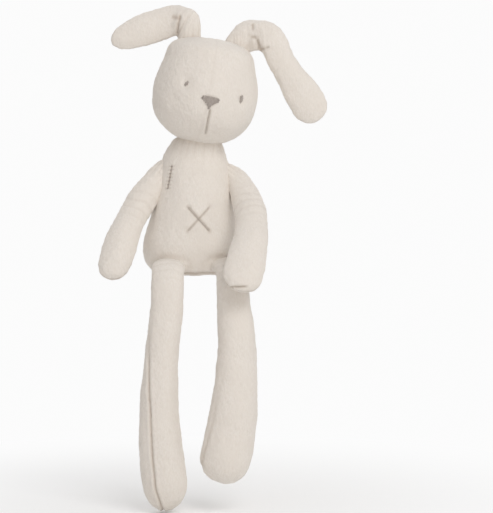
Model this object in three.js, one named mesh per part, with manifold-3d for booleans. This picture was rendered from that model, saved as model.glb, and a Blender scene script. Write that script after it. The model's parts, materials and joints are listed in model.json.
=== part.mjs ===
// Long-legged cloth rabbit that sits with its legs over an edge.
// Millimetres. +Z is up, the face looks along -Y and +X is the toy's own left.
// The origin lies on the flat seat under the torso.

import * as THREE from "three";
import { mergeVertices } from "three/addons/utils/BufferGeometryUtils.js";
import Module from "manifold-3d";

const wasm = await Module();
wasm.setup();

// ---------------------------------------------------------------- driving dimensions

const cloth = 2; // pile cloth, backing and pile together
const gap = 0.3; // room between two pieces that lie against each other
const threadLift = 1.4; // height of embroidery above the pile
const threadWidth = 1.6; // width of one embroidered line
const seamThread = 0.9; // radius of the closing thread at neck and shoulders
const hingeRoom = 0.3; // distance of a fold's axis outside the folded edge

const torso = {
  foot: { at: [-3, 2, 17], wide: 41.5, deep: 33 },
  belly: { at: [-3, 0, 26], wide: 42, deep: 34.5 },
  waist: { at: [1, 0, 54], wide: 36, deep: 32 },
  chest: { at: [2.5, 1, 80], wide: 31, deep: 27 },
  shoulder: { at: [3, 2, 98], wide: 29.5, deep: 23 },
  neck: { at: [4.5, 2, 112], wide: 20, deep: 17 },
  footRound: 22,
  neckRound: 8,
  neckCut: 2, // from the middle of the neck up to its cut end
};
const neckSocket = 21; // radius of the hollow under the head that takes the neck
const neckLoop = 15; // radius of the closing thread's loop

const head = {
  roll: 11, // degrees that the head leans to the toy's left
  chinRoom: 1.5, // neck to the lowest point of the chin
  shift: [6, -7], // middle of the head from the neck, across and forward
  low: { drop: 8, wide: 46, deep: 41 },
  high: { rise: 14, wide: 43, deep: 38 },
  chinRound: 37,
  crownRound: 32,
};

const ear = {
  rootWide: 10.5,
  rootDeep: 5.5,
  wide: 13.5,
  deep: 6.5,
  tipRound: 13,
};
const rightEarRoot = { across: -18, sunk: 3 }; // across the crown, and below its highest point
const leftEarRoot = { across: 20.5, sunk: 2.5 };

const arm = { rootWide: 10.5, rootDeep: 9.5, wristWide: 16.5, handDeep: 11.5, handRound: 14 };
const rightShoulderSet = { out: 4.3, down: 8 }; // from the widest point of the shoulders
const leftShoulderSet = { out: 2, down: 10 };
const threadOffset = 9; // closing thread's loop, inwards from the middle of the shoulder

const thigh = { wide: 13.5, deep: 7, kneeWide: 14, kneeDeep: 7.5 };
const thighLift = 0.5; // room under the thighs
const rightHipSet = { across: -15, forward: 18 }; // from the middle of the seat
const leftHipSet = { across: 28, forward: 17 };
const rightKneeSet = { across: -18, forward: 38 };
const leftKneeSet = { across: 39.5, forward: 38 };
const hipSwing = 60; // degrees that a thigh can sink from level

const foot = { wide: 20, deep: 17.5, round: 18 };

const tail = { radius: 12, height: 26, proud: 6 };
const label = { wide: 12, long: 16, thick: 0.8, height: 20 };

// The face is placed from the middle of the head, the cross from the waist, the row from the shoulders.
const nose = { by: [6.5, -8.7], wide: 16, high: 10.6 };
const rightEye = { by: [-15.3, 6.5], wide: 3.4, high: 5.8 };
const leftEye = { by: [32.7, -7], wide: 3.2, high: 8.2 };
const mouth = [
  [5.6, -17.9],
  [3.8, -25.7],
  [1.2, -37.7],
];
const bellyCross = { by: [5.2, -4.2], halfWide: 9.6, halfHigh: 10.6 };
const shoulderStitches = { top: [-19.5, -1], bottom: [-23.5, -23], count: 7, long: 6 };

// ---------------------------------------------------------------- finishes

const pile = () => new THREE.MeshStandardMaterial({ color: 0xded6cc, roughness: 0.95, metalness: 0 });
const thread = () => new THREE.MeshStandardMaterial({ color: 0xa59d96, roughness: 0.7, metalness: 0 });
const seamTwist = () => new THREE.MeshStandardMaterial({ color: 0xe2dacf, roughness: 0.8, metalness: 0 });
const wadding = () => new THREE.MeshStandardMaterial({ color: 0xf4f2ee, roughness: 1, metalness: 0 });
const tape = () => new THREE.MeshStandardMaterial({ color: 0xf7f6f2, roughness: 0.6, metalness: 0 });

// ---------------------------------------------------------------- solids

const rabbit = new THREE.Group();
const front = new THREE.Vector3(0, -1, 0);
const up = new THREE.Vector3(0, 0, 1);

// A closed three.js geometry as a solid for joining and cutting.
function solidOf(geometry) {
  const bare = geometry.clone();
  bare.deleteAttribute("normal");
  bare.deleteAttribute("uv");
  const merged = mergeVertices(bare, 1e-4);
  return new wasm.Manifold(
    new wasm.Mesh({
      numProp: 3,
      vertProperties: merged.getAttribute("position").array,
      triVerts: new Uint32Array(merged.index.array),
    }),
  );
}

// Adds a solid to the rabbit as a named mesh.
function addPiece(name, solid, material) {
  const cut = solid.getMesh();
  const geometry = new THREE.BufferGeometry();
  geometry.setAttribute("position", new THREE.BufferAttribute(cut.vertProperties, 3));
  geometry.setIndex(new THREE.BufferAttribute(cut.triVerts, 1));
  geometry.computeVertexNormals();
  const mesh = new THREE.Mesh(geometry, material);
  mesh.name = name;
  rabbit.add(mesh);
}

// A soft tube with round ends: a sphere whose rows follow a curve through the stations. The first and
// last stations are the middles of the end balls; wide and deep are half sizes, deep along the face.
function form(stations, face, startRound, endRound, around = 14, rows = 12) {
  const spine = new THREE.CatmullRomCurve3(stations.map((s) => new THREE.Vector3(...s.at)));
  const sizes = new THREE.CatmullRomCurve3(stations.map((s) => new THREE.Vector3(s.wide, s.deep, 0)));
  const length = spine.getLength();
  const endRows = 3;

  function section(distance) {
    const inside = THREE.MathUtils.clamp(distance, 0, length);
    const t = spine.getUtoTmapping(inside / length);
    const along = spine.getTangent(t);
    const centre = spine.getPoint(t).addScaledVector(along, distance - inside);
    const through = face.clone().addScaledVector(along, -face.dot(along)).normalize();
    const across = through.clone().cross(along);
    const size = sizes.getPoint(t);
    return { centre, across, through, wide: size.x, deep: size.y };
  }

  // The row's place along the spine, and how much of the full section it has.
  function rowPlace(row, grow) {
    const turn = Math.min(row, rows - row, endRows) * (Math.PI / 2 / endRows);
    const share = Math.sin(turn);
    if (row < endRows) return { distance: -(startRound + grow) * Math.cos(turn), share };
    if (row > rows - endRows) return { distance: length + (endRound + grow) * Math.cos(turn), share };
    return { distance: (length * (row - endRows)) / (rows - 2 * endRows), share };
  }

  function solid(grow = 0) {
    const ball = new THREE.SphereGeometry(1, around, rows);
    const place = ball.getAttribute("position");
    const uv = ball.getAttribute("uv");
    for (let i = 0; i < place.count; i += 1) {
      const { distance, share } = rowPlace(Math.round((1 - uv.getY(i)) * rows), grow);
      const { centre, across, through, wide, deep } = section(distance);
      const turn = 2 * Math.PI * uv.getX(i);
      centre.addScaledVector(across, -Math.cos(turn) * (wide + grow) * share);
      centre.addScaledVector(through, Math.sin(turn) * (deep + grow) * share);
      place.setXYZ(i, centre.x, centre.y, centre.z);
    }
    return solidOf(ball);
  }

  return { solid };
}

function ball(centre, radius) {
  return solidOf(new THREE.SphereGeometry(radius, 14, 9).translate(...centre));
}

function box(centre, size) {
  return solidOf(new THREE.BoxGeometry(...size).translate(...centre));
}

// The part of a solid in front of a plane, half a gap away from it. The normal points to what stays.
function keep(solid, normal, point) {
  const unit = normal.clone().normalize();
  return solid.trimByPlane(unit.toArray(), unit.dot(point) + gap / 2);
}

// The cloth of a form, less what is cut from it, as two panels either side of a plane.
function addPanels(names, shape, normal, point, cuts) {
  const skin = cuts.reduce((left, cut) => left.subtract(cut), shape.solid().subtract(shape.solid(-cloth)));
  addPiece(names[0], keep(skin, normal, point), pile());
  addPiece(names[1], keep(skin, normal.clone().negate(), point), pile());
}

// A station given by its steps from a pivot.
function moved({ by, wide, deep }, pivot) {
  return { at: by.map((step, i) => pivot[i] + step), wide, deep };
}

function filling(shape) {
  return shape.solid(-(cloth + gap));
}

// A flat outline, seen from the front, as a block that runs through the toy from front to middle.
function frontBlock(shape) {
  const depth = 120;
  const block = new THREE.ExtrudeGeometry(shape, { depth, bevelEnabled: false, curveSegments: 6 });
  return solidOf(block.rotateX(Math.PI / 2));
}

// Embroidery: the outline laid on the front of a form, one gap above its cloth.
function addEmbroidery(name, block, shape) {
  addPiece(name, block.intersect(shape.solid(gap + threadLift).subtract(shape.solid(gap))), thread());
}

// A straight stitched line between two points of the front view.
function stitch(from, to) {
  const middle = new THREE.Vector2(...from).add(new THREE.Vector2(...to)).multiplyScalar(0.5);
  const run = new THREE.Vector2(...to).sub(new THREE.Vector2(...from));
  const half = run.length() / 2 + threadWidth / 2;
  const side = threadWidth / 2;
  const corners = [
    [-half, -side],
    [half, -side],
    [half, side],
    [-half, side],
  ];
  const points = corners.map(([x, y]) => {
    return new THREE.Vector2(x, y).rotateAround(new THREE.Vector2(), run.angle()).add(middle);
  });
  return frontBlock(new THREE.Shape(points));
}

function oval(centre, wide, high) {
  return frontBlock(new THREE.Shape().ellipse(centre[0], centre[1], wide / 2, high / 2, 0, 2 * Math.PI));
}

// ---------------------------------------------------------------- places that follow from the sizes

const { foot: torsoFoot, belly, waist, chest, shoulder, neck, footRound, neckRound } = torso;
const torsoForm = form([torsoFoot, belly, waist, chest, shoulder, neck], front, footRound, neckRound, 14, 12);
const neckHeight = neck.at[2] + torso.neckCut;
const neckPivot = new THREE.Vector3(neck.at[0], neck.at[1], neckHeight + gap + seamThread);

const roll = THREE.MathUtils.degToRad(head.roll);
const headUp = new THREE.Vector3(Math.sin(roll), 0, Math.cos(roll));
const headAcross = new THREE.Vector3(Math.cos(roll), 0, -Math.sin(roll));
const headMiddle = new THREE.Vector3(
  neckPivot.x + head.shift[0],
  neckPivot.y + head.shift[1],
  neckPivot.z + head.chinRoom + head.chinRound + head.low.drop,
);

// A point of the head, given across and up from its middle.
function onHead(across, rise) {
  return headMiddle.clone().addScaledVector(headAcross, across).addScaledVector(headUp, rise);
}

const crown = head.high.rise + head.crownRound;

const headForm = form(
  [
    { at: onHead(0, -head.low.drop).toArray(), wide: head.low.wide, deep: head.low.deep },
    { at: onHead(0, head.high.rise).toArray(), wide: head.high.wide, deep: head.high.deep },
  ],
  front,
  head.chinRound,
  head.crownRound,
  16,
  11,
);

// ---------------------------------------------------------------- ears

// One ear: its root turns on the head at the pivot, and its tip folds over at the crease. The stations
// are given across and up from the pivot, and the crease runs from its outer to its inner end.
function makeEar(side, pivot, rootStations, tipStations, creaseOut, creaseIn) {
  const place = ([across, rise]) => [pivot.x + across, pivot.y, pivot.z + rise];
  const stations = (list) => list.map(({ at, wide, deep }) => ({ at: place(at), wide, deep }));
  const rootForm = form(stations(rootStations), front, ear.rootWide, ear.wide, 10, 8);
  const tipForm = form(stations(tipStations), front, ear.wide, ear.tipRound, 10, 12);
  const outer = new THREE.Vector3(...place(creaseOut));
  const crease = new THREE.Vector3(...place(creaseIn)).sub(outer).normalize();
  const toTip = crease.clone().cross(front).multiplyScalar(-side);
  const toRoot = toTip.clone().negate();

  const rootSkin = rootForm.solid().subtract(rootForm.solid(-cloth));
  addPiece(names(side, "ear_root_cover"), keep(rootSkin, toRoot, outer), pile());
  addPiece(names(side, "ear_root_wadding"), keep(filling(rootForm), toRoot, outer), wadding());
  const tipSkin = keep(tipForm.solid().subtract(tipForm.solid(-cloth)), toTip, outer);
  addPiece(names(side, "ear_tip_front_panel"), keep(tipSkin, front, pivot), pile());
  addPiece(names(side, "ear_tip_back_panel"), keep(tipSkin, front.clone().negate(), pivot), pile());
  addPiece(names(side, "ear_tip_wadding"), keep(filling(tipForm), toTip, outer), wadding());
  return outer.addScaledVector(crease, -hingeRoom);
}

function names(side, piece) {
  return (side < 0 ? "right_" : "left_") + piece;
}

const { rootWide: earRootWide, rootDeep: earRootDeep, wide: earWide, deep: earDeep } = ear;
const rightEarPivot = onHead(rightEarRoot.across, crown - rightEarRoot.sunk);
const rightEarFold = makeEar(
  -1,
  rightEarPivot,
  [
    { at: [0, 0], wide: earRootWide, deep: earRootDeep },
    { at: [-1, 8], wide: 12.5, deep: earDeep },
    { at: [-3, 17], wide: earWide, deep: earDeep },
  ],
  [
    { at: [-4, 17], wide: earWide, deep: earDeep },
    { at: [-14, 15.5], wide: earWide, deep: earDeep },
    { at: [-34, 10], wide: 14.5, deep: earDeep + 1 },
    { at: [-50, 3.5], wide: 13.5, deep: earDeep },
  ],
  [2, 30],
  [-11, 3],
);
const leftEarPivot = onHead(leftEarRoot.across, crown - leftEarRoot.sunk);
const leftEarFold = makeEar(
  1,
  leftEarPivot,
  [
    { at: [0, 0], wide: earRootWide, deep: earRootDeep },
    { at: [6, 6], wide: 12.5, deep: earDeep },
    { at: [13, 10], wide: earWide, deep: earDeep },
  ],
  [
    { at: [14, 11], wide: 13, deep: earDeep },
    { at: [25, 7], wide: earWide, deep: earDeep },
    { at: [33, -4], wide: 12.5, deep: earDeep },
    { at: [44, -26], wide: 13.5, deep: earDeep },
    { at: [55, -40], wide: 16.5, deep: earDeep + 1 },
    { at: [65, -55], wide: 15.5, deep: earDeep },
  ],
  [18, 25],
  [22, -7],
);

// ---------------------------------------------------------------- head

const earRoom = [rightEarPivot, leftEarPivot].map((pivot) => ball(pivot, earRootWide + 2 * gap));
const headCuts = [ball(neckPivot, neckSocket), ...earRoom];
addPanels(["head_left_panel", "head_right_panel"], headForm, headAcross, headMiddle, headCuts);
const headFilling = headCuts.reduce((left, cut) => left.subtract(cut), filling(headForm));
addPiece("head_stuffing", headFilling, wadding());

const onFace = ([across, rise]) => [headMiddle.x + across, headMiddle.z + rise];
const [noseX, noseZ] = onFace(nose.by);
const noseTop = noseZ + nose.high / 2;
const noseShape = new THREE.Shape();
noseShape.moveTo(noseX - nose.wide / 2, noseTop);
noseShape.lineTo(noseX, noseZ - nose.high / 2);
noseShape.lineTo(noseX + nose.wide / 2, noseTop);
noseShape.quadraticCurveTo(noseX, noseTop + nose.high / 10, noseX - nose.wide / 2, noseTop);
addEmbroidery("nose_embroidery", frontBlock(noseShape), headForm);
const [lip, midChin, lowChin] = mouth.map(onFace);
addEmbroidery("mouth_stitch", stitch(lip, midChin).add(stitch(midChin, lowChin)), headForm);
addEmbroidery("right_eye_stitch", oval(onFace(rightEye.by), rightEye.wide, rightEye.high), headForm);
addEmbroidery("left_eye_stitch", oval(onFace(leftEye.by), leftEye.wide, leftEye.high), headForm);

// ---------------------------------------------------------------- arms

// The middle of an arm's root, beside the shoulders of the torso.
function shoulderPlace(side, { out, down }) {
  return [shoulder.at[0] + side * (shoulder.wide + out), 0, shoulder.at[2] - down];
}

const rightShoulder = shoulderPlace(-1, rightShoulderSet);
const leftShoulder = shoulderPlace(1, leftShoulderSet);

// One arm: a round root in the torso's shoulder hollow, and a mitten hand at the far end.
function makeArm(side, pivot, bends) {
  const stations = bends.map((bend) => moved(bend, pivot));
  const root = { at: pivot, wide: arm.rootWide, deep: arm.rootDeep };
  const shape = form([root, ...stations], front, arm.rootWide, arm.handRound, 12, 12);
  const seam = new THREE.Vector3(...stations[1].at);
  addPanels([names(side, "arm_front_panel"), names(side, "arm_back_panel")], shape, front, seam, []);
  addPiece(names(side, "arm_stuffing"), filling(shape), wadding());

  const reach = arm.rootWide + gap + seamThread;
  const loop = Math.sqrt(reach ** 2 - threadOffset ** 2);
  const ring = new THREE.TorusGeometry(loop, seamThread, 5, 14).rotateY(Math.PI / 2);
  ring.translate(pivot[0] - side * threadOffset, pivot[1], pivot[2]);
  addPiece(names(side, "shoulder_thread"), solidOf(ring), seamTwist());
  return ball(pivot, reach + seamThread + 3 * gap);
}

const rightArmRoom = makeArm(-1, rightShoulder, [
  { by: [-16.5, -8, -16], wide: 11, deep: 10.5 },
  { by: [-24.5, -16, -37], wide: 12.5, deep: arm.handDeep },
  { by: [-30.5, -27, -58], wide: arm.wristWide, deep: arm.handDeep },
  { by: [-36, -36, -75], wide: 15.5, deep: arm.handDeep },
]);
const leftArmRoom = makeArm(1, leftShoulder, [
  { by: [14, -12, -13], wide: 11, deep: 10.5 },
  { by: [17.5, -30, -34], wide: 12.5, deep: arm.handDeep },
  { by: [15.5, -47, -54], wide: 14.5, deep: arm.handDeep },
  { by: [11.5, -60, -73], wide: 17.5, deep: 10.5 },
  { by: [8.5, -66, -87], wide: 17.5, deep: 10 },
]);

// ---------------------------------------------------------------- legs

const hipHeight = thigh.deep + thighLift;
const kneeHeight = thigh.kneeDeep + thighLift;
const legPlace = ({ across, forward }, height) => [torsoFoot.at[0] + across, -forward, height];
const rightHip = legPlace(rightHipSet, hipHeight);
const leftHip = legPlace(leftHipSet, hipHeight);
const rightKnee = legPlace(rightKneeSet, kneeHeight);
const leftKnee = legPlace(leftKneeSet, kneeHeight);

// The fold of a leg over the edge: the axis outside the folded knee, and the plane of the mitre.
function kneeFold(knee) {
  const outwards = new THREE.Vector3(0, -1, 1).normalize();
  return new THREE.Vector3(...knee).addScaledVector(outwards, thigh.kneeDeep + hingeRoom);
}

// One leg: a thigh that lies level, folded at the knee into a long hanging shin with its foot.
function makeLeg(side, hip, knee, bends) {
  const hipStation = { at: hip, wide: thigh.wide, deep: thigh.deep };
  const kneeStation = { at: knee, wide: thigh.kneeWide, deep: thigh.kneeDeep };
  const thighForm = form([hipStation, kneeStation], up, thigh.deep, thigh.kneeDeep, 10, 7);
  const stations = bends.map((bend) => moved(bend, knee));
  const shinForm = form([kneeStation, ...stations], front, thigh.kneeDeep, foot.round, 12, 13);
  const fold = kneeFold(knee);
  const toShin = new THREE.Vector3(0, -1, -1);
  const toThigh = toShin.clone().negate();

  const thighSkin = thighForm.solid().subtract(thighForm.solid(-cloth));
  addPiece(names(side, "thigh_cover"), keep(thighSkin, toThigh, fold), pile());
  addPiece(names(side, "thigh_stuffing"), keep(filling(thighForm), toThigh, fold), wadding());
  const shinSkin = keep(shinForm.solid().subtract(shinForm.solid(-cloth)), toShin, fold);
  const seam = new THREE.Vector3(...stations[2].at);
  const outwards = new THREE.Vector3(side, 0, 0);
  addPiece(names(side, "shin_outer_panel"), keep(shinSkin, outwards, seam), pile());
  addPiece(names(side, "shin_inner_panel"), keep(shinSkin, outwards.negate(), seam), pile());
  addPiece(names(side, "shin_stuffing"), keep(filling(shinForm), toShin, fold), wadding());
  return thighForm;
}

const rightThigh = makeLeg(-1, rightHip, rightKnee, [
  { by: [-2.5, -1, -45], wide: 14, deep: 11 },
  { by: [-5.5, -1, -77], wide: 14.2, deep: 12.5 },
  { by: [-8, -2, -124], wide: 17.3, deep: 14.5 },
  { by: [-5.5, -3, -159], wide: 19.5, deep: 17 },
  { by: [-2.5, -4, -188], wide: foot.wide, deep: foot.deep },
]);
const leftThigh = makeLeg(1, leftHip, leftKnee, [
  { by: [0.5, -1, -30], wide: 14.2, deep: 11 },
  { by: [3, -3, -74], wide: 17.3, deep: 13.5 },
  { by: [1, -8, -118], wide: 20, deep: 16 },
  { by: [-4, -14, -152], wide: 22, deep: 18 },
  { by: [-7, -17, -168], wide: 21.5, deep: foot.deep },
]);

// The room that a thigh sweeps as it sinks from level.
function thighRoom(shape, hip, knee) {
  const steps = 2;
  const pivot = new THREE.Vector3(...hip);
  const along = new THREE.Vector3(...knee).sub(pivot).setZ(0).normalize();
  const axis = up.clone().cross(along).negate();
  const swept = [];
  for (let step = 0; step <= steps; step += 1) {
    const turn = THREE.MathUtils.degToRad((-hipSwing * step) / steps);
    const matrix = new THREE.Matrix4().makeTranslation(pivot);
    matrix.multiply(new THREE.Matrix4().makeRotationAxis(axis, turn));
    matrix.multiply(new THREE.Matrix4().makeTranslation(pivot.clone().negate()));
    swept.push(shape.solid(step === 0 ? 4 * gap : 3 * gap).transform(matrix.elements));
  }
  return swept.reduce((all, one) => all.add(one));
}

// ---------------------------------------------------------------- torso

const tailMiddle = [belly.at[0], belly.at[1] + belly.deep + tail.proud, tail.height];
const limbRoom = [
  rightArmRoom,
  leftArmRoom,
  thighRoom(rightThigh, rightHip, rightKnee),
  thighRoom(leftThigh, leftHip, leftKnee),
];
const floor = (solid, height) => solid.trimByPlane(up.toArray(), height);
const topped = (solid, height) => solid.trimByPlane([0, 0, -1], -height);
const torsoWhole = topped(floor(torsoForm.solid(), 0), neckHeight);
const clear = (solid) => limbRoom.reduce((left, cut) => left.subtract(cut), solid);

addPiece("seat_panel", clear(topped(torsoWhole, cloth)), pile());
const torsoSkin = clear(floor(torsoWhole.subtract(torsoForm.solid(-cloth)), cloth + gap));
const sideSeam = new THREE.Vector3(...waist.at);
addPiece("torso_front_panel", keep(torsoSkin, front, sideSeam), pile());
addPiece("torso_back_panel", keep(torsoSkin, front.clone().negate(), sideSeam), pile());
const torsoFilling = topped(floor(filling(torsoForm), cloth + gap), neckHeight - gap);
addPiece("torso_stuffing", clear(torsoFilling), wadding());

const neckRing = new THREE.TorusGeometry(neckLoop, seamThread, 5, 16);
addPiece("neck_thread", solidOf(neckRing.translate(...neckPivot)), seamTwist());

const tailForm = form(
  [
    { at: tailMiddle, wide: tail.radius, deep: tail.radius },
    { at: [tailMiddle[0], tailMiddle[1], tailMiddle[2] + 1], wide: tail.radius, deep: tail.radius },
  ],
  front,
  tail.radius,
  tail.radius,
  10,
  8,
);
const tailSeat = torsoForm.solid(gap);
const tailSkin = tailForm.solid().subtract(tailForm.solid(-cloth)).subtract(tailSeat);
addPiece("tail_cover", tailSkin, pile());
addPiece("tail_stuffing", filling(tailForm).subtract(tailSeat), wadding());

const [crossX, crossZ] = [waist.at[0] + bellyCross.by[0], waist.at[2] + bellyCross.by[1]];
const { halfWide, halfHigh } = bellyCross;
const crossDown = stitch([crossX - halfWide, crossZ + halfHigh], [crossX + halfWide, crossZ - halfHigh]);
const crossUp = stitch([crossX - halfWide, crossZ - halfHigh], [crossX + halfWide, crossZ + halfHigh]);
addEmbroidery("belly_cross_stitch", crossDown.add(crossUp), torsoForm);

const { count, long } = shoulderStitches;
const onShoulders = ([across, rise]) => [shoulder.at[0] + across, shoulder.at[2] + rise];
const combTop = onShoulders(shoulderStitches.top);
const combBottom = onShoulders(shoulderStitches.bottom);
let comb = stitch(combTop, combBottom);
for (let tick = 0; tick < count; tick += 1) {
  const share = tick / (count - 1);
  const x = THREE.MathUtils.lerp(combTop[0], combBottom[0], share);
  const z = THREE.MathUtils.lerp(combTop[1], combBottom[1], share);
  comb = comb.add(stitch([x - long / 2, z], [x + long / 2, z]));
}
addEmbroidery("right_shoulder_stitches", comb, torsoForm);

const labelBox = box([belly.at[0] + belly.wide, 14, label.height], [label.long, label.thick, label.wide]);
addPiece("care_label", labelBox.subtract(torsoForm.solid(gap)), tape());

// Pivots of the joints, for whoever poses the rabbit.
rabbit.userData.pivots = {
  neck: neckPivot.toArray(),
  right_ear_root: rightEarPivot.toArray(),
  left_ear_root: leftEarPivot.toArray(),
  right_ear_fold: rightEarFold.toArray(),
  left_ear_fold: leftEarFold.toArray(),
  right_shoulder: rightShoulder,
  left_shoulder: leftShoulder,
  right_hip: rightHip,
  left_hip: leftHip,
  right_knee: kneeFold(rightKnee).toArray(),
  left_knee: kneeFold(leftKnee).toArray(),
};

export default rabbit;
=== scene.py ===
"""A floppy stuffed rabbit of cream pile cloth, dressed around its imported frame.

Every cover is cut, filled by a short cloth simulation, and then seamed, gathered
and brushed. The stitches are thread laid on the finished covers. Sides are the
toy's own: its right is towards -X.
"""

from __future__ import annotations

import json
import logging
import math
from dataclasses import dataclass, field
from enum import Enum

import bpy
import numpy as np
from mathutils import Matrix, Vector
from mathutils.bvhtree import BVHTree


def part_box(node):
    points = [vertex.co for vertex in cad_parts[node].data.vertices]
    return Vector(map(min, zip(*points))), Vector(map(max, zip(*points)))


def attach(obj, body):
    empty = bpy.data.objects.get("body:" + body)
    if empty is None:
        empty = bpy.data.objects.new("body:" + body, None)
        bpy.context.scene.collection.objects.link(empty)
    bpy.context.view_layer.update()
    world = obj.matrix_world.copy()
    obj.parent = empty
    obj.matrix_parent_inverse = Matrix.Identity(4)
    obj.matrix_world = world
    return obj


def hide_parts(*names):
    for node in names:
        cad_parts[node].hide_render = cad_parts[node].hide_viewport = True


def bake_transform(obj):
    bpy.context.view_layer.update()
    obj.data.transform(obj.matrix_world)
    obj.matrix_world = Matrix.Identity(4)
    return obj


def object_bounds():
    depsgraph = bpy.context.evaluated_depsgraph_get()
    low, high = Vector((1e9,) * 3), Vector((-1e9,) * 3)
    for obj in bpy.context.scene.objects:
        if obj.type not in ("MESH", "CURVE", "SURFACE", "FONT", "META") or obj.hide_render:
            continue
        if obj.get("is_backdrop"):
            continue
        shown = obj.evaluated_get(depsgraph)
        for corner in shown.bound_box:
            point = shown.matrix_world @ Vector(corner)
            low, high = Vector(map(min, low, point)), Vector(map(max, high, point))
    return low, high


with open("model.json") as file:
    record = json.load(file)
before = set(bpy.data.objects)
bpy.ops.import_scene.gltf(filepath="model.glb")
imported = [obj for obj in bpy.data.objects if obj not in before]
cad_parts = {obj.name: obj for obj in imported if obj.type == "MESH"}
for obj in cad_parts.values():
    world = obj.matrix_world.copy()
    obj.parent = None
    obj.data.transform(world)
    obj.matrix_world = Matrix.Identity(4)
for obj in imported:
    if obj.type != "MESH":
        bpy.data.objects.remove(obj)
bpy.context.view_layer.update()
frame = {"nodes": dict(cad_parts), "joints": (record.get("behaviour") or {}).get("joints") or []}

LOG = logging.getLogger("rabbit")
MM = 0.001
UP = np.array([0.0, 0.0, 1.0])
FRONT = np.array([0.0, -1.0, 0.0])
# How deep each point lies in a crease; the pile material paints shade there from it.
SHADE_MASK = "crease_shade_mask"


class Side(Enum):
    """The toy's own sides."""

    RIGHT = "right"
    LEFT = "left"


class Slot(Enum):
    """The record's material slots named for the new pieces; nothing here assigns them."""

    PILE = "pile_cloth"
    FLOSS = "embroidery_thread"
    TAPE = "label_tape"


# --- places ---------------------------------------------------------------------


def pivot(joint: str) -> np.ndarray:
    """The resting place of a joint.

    Args:
        joint: The joint's name in the frame.

    Returns:
        Its point in metres.
    """
    return next(np.array(j["pos_m"], float) for j in frame["joints"] if j["name"] == joint)


def box_middle(*nodes: str) -> np.ndarray:
    """The middle of the box round some CAD nodes.

    Args:
        nodes: The names of the nodes.

    Returns:
        The middle in metres.
    """
    low, high = box_corners(*nodes)
    return (low + high) / 2


def box_corners(*nodes: str) -> tuple[np.ndarray, np.ndarray]:
    """The lowest and the highest corner of the box round some CAD nodes.

    Args:
        nodes: The names of the nodes.

    Returns:
        The two corners in metres.
    """
    boxes = [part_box(node) for node in nodes]
    low = np.min([np.array(b[0]) for b in boxes], axis=0)
    high = np.max([np.array(b[1]) for b in boxes], axis=0)
    return low, high


# --- noise ----------------------------------------------------------------------


def lattice_value(cell: np.ndarray, seed: int) -> np.ndarray:
    """A repeatable value from -1 to 1 for each cell of a lattice.

    Args:
        cell: Whole-number cells, one row each.
        seed: Chooses the pattern.

    Returns:
        One value for each row.
    """
    mixed = cell[..., 0] * 73856093 ^ cell[..., 1] * 19349663 ^ cell[..., 2] * 83492791
    mixed = (mixed ^ (seed * 2654435761)) & 0xFFFFFFFF
    mixed = ((mixed ^ (mixed >> 15)) * 2246822519) & 0xFFFFFFFF
    mixed = ((mixed ^ (mixed >> 13)) * 3266489917) & 0xFFFFFFFF
    mixed = (mixed ^ (mixed >> 16)) & 0xFFFFFFFF
    return mixed / 2147483647.5 - 1.0


def cloud(points: np.ndarray, size: float, seed: int) -> np.ndarray:
    """Smooth lumps of one size.

    Args:
        points: Where to read the pattern, one row each.
        size: The size of a lump in metres, or one size for each axis.
        seed: Chooses the pattern.

    Returns:
        A value from -1 to 1 for each point.
    """
    scaled = points / size
    cell = np.floor(scaled).astype(np.int64)
    part = scaled - cell
    part = part * part * part * (part * (part * 6 - 15) + 10)
    total = np.zeros(len(points))
    for corner in range(8):
        step = np.array([corner & 1, corner >> 1 & 1, corner >> 2 & 1])
        weight = np.prod(np.where(step == 1, part, 1 - part), axis=1)
        total += weight * lattice_value(cell + step, seed)
    return total


# --- forms ----------------------------------------------------------------------


@dataclass(frozen=True)
class Rounding:
    """How a form closes at one end.

    Attributes:
        reach: How far the end stands past its last station, in mm.
        square: 2 is a ball's end; more is a squarer one.
    """

    reach: float
    square: float = 2.0


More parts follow.
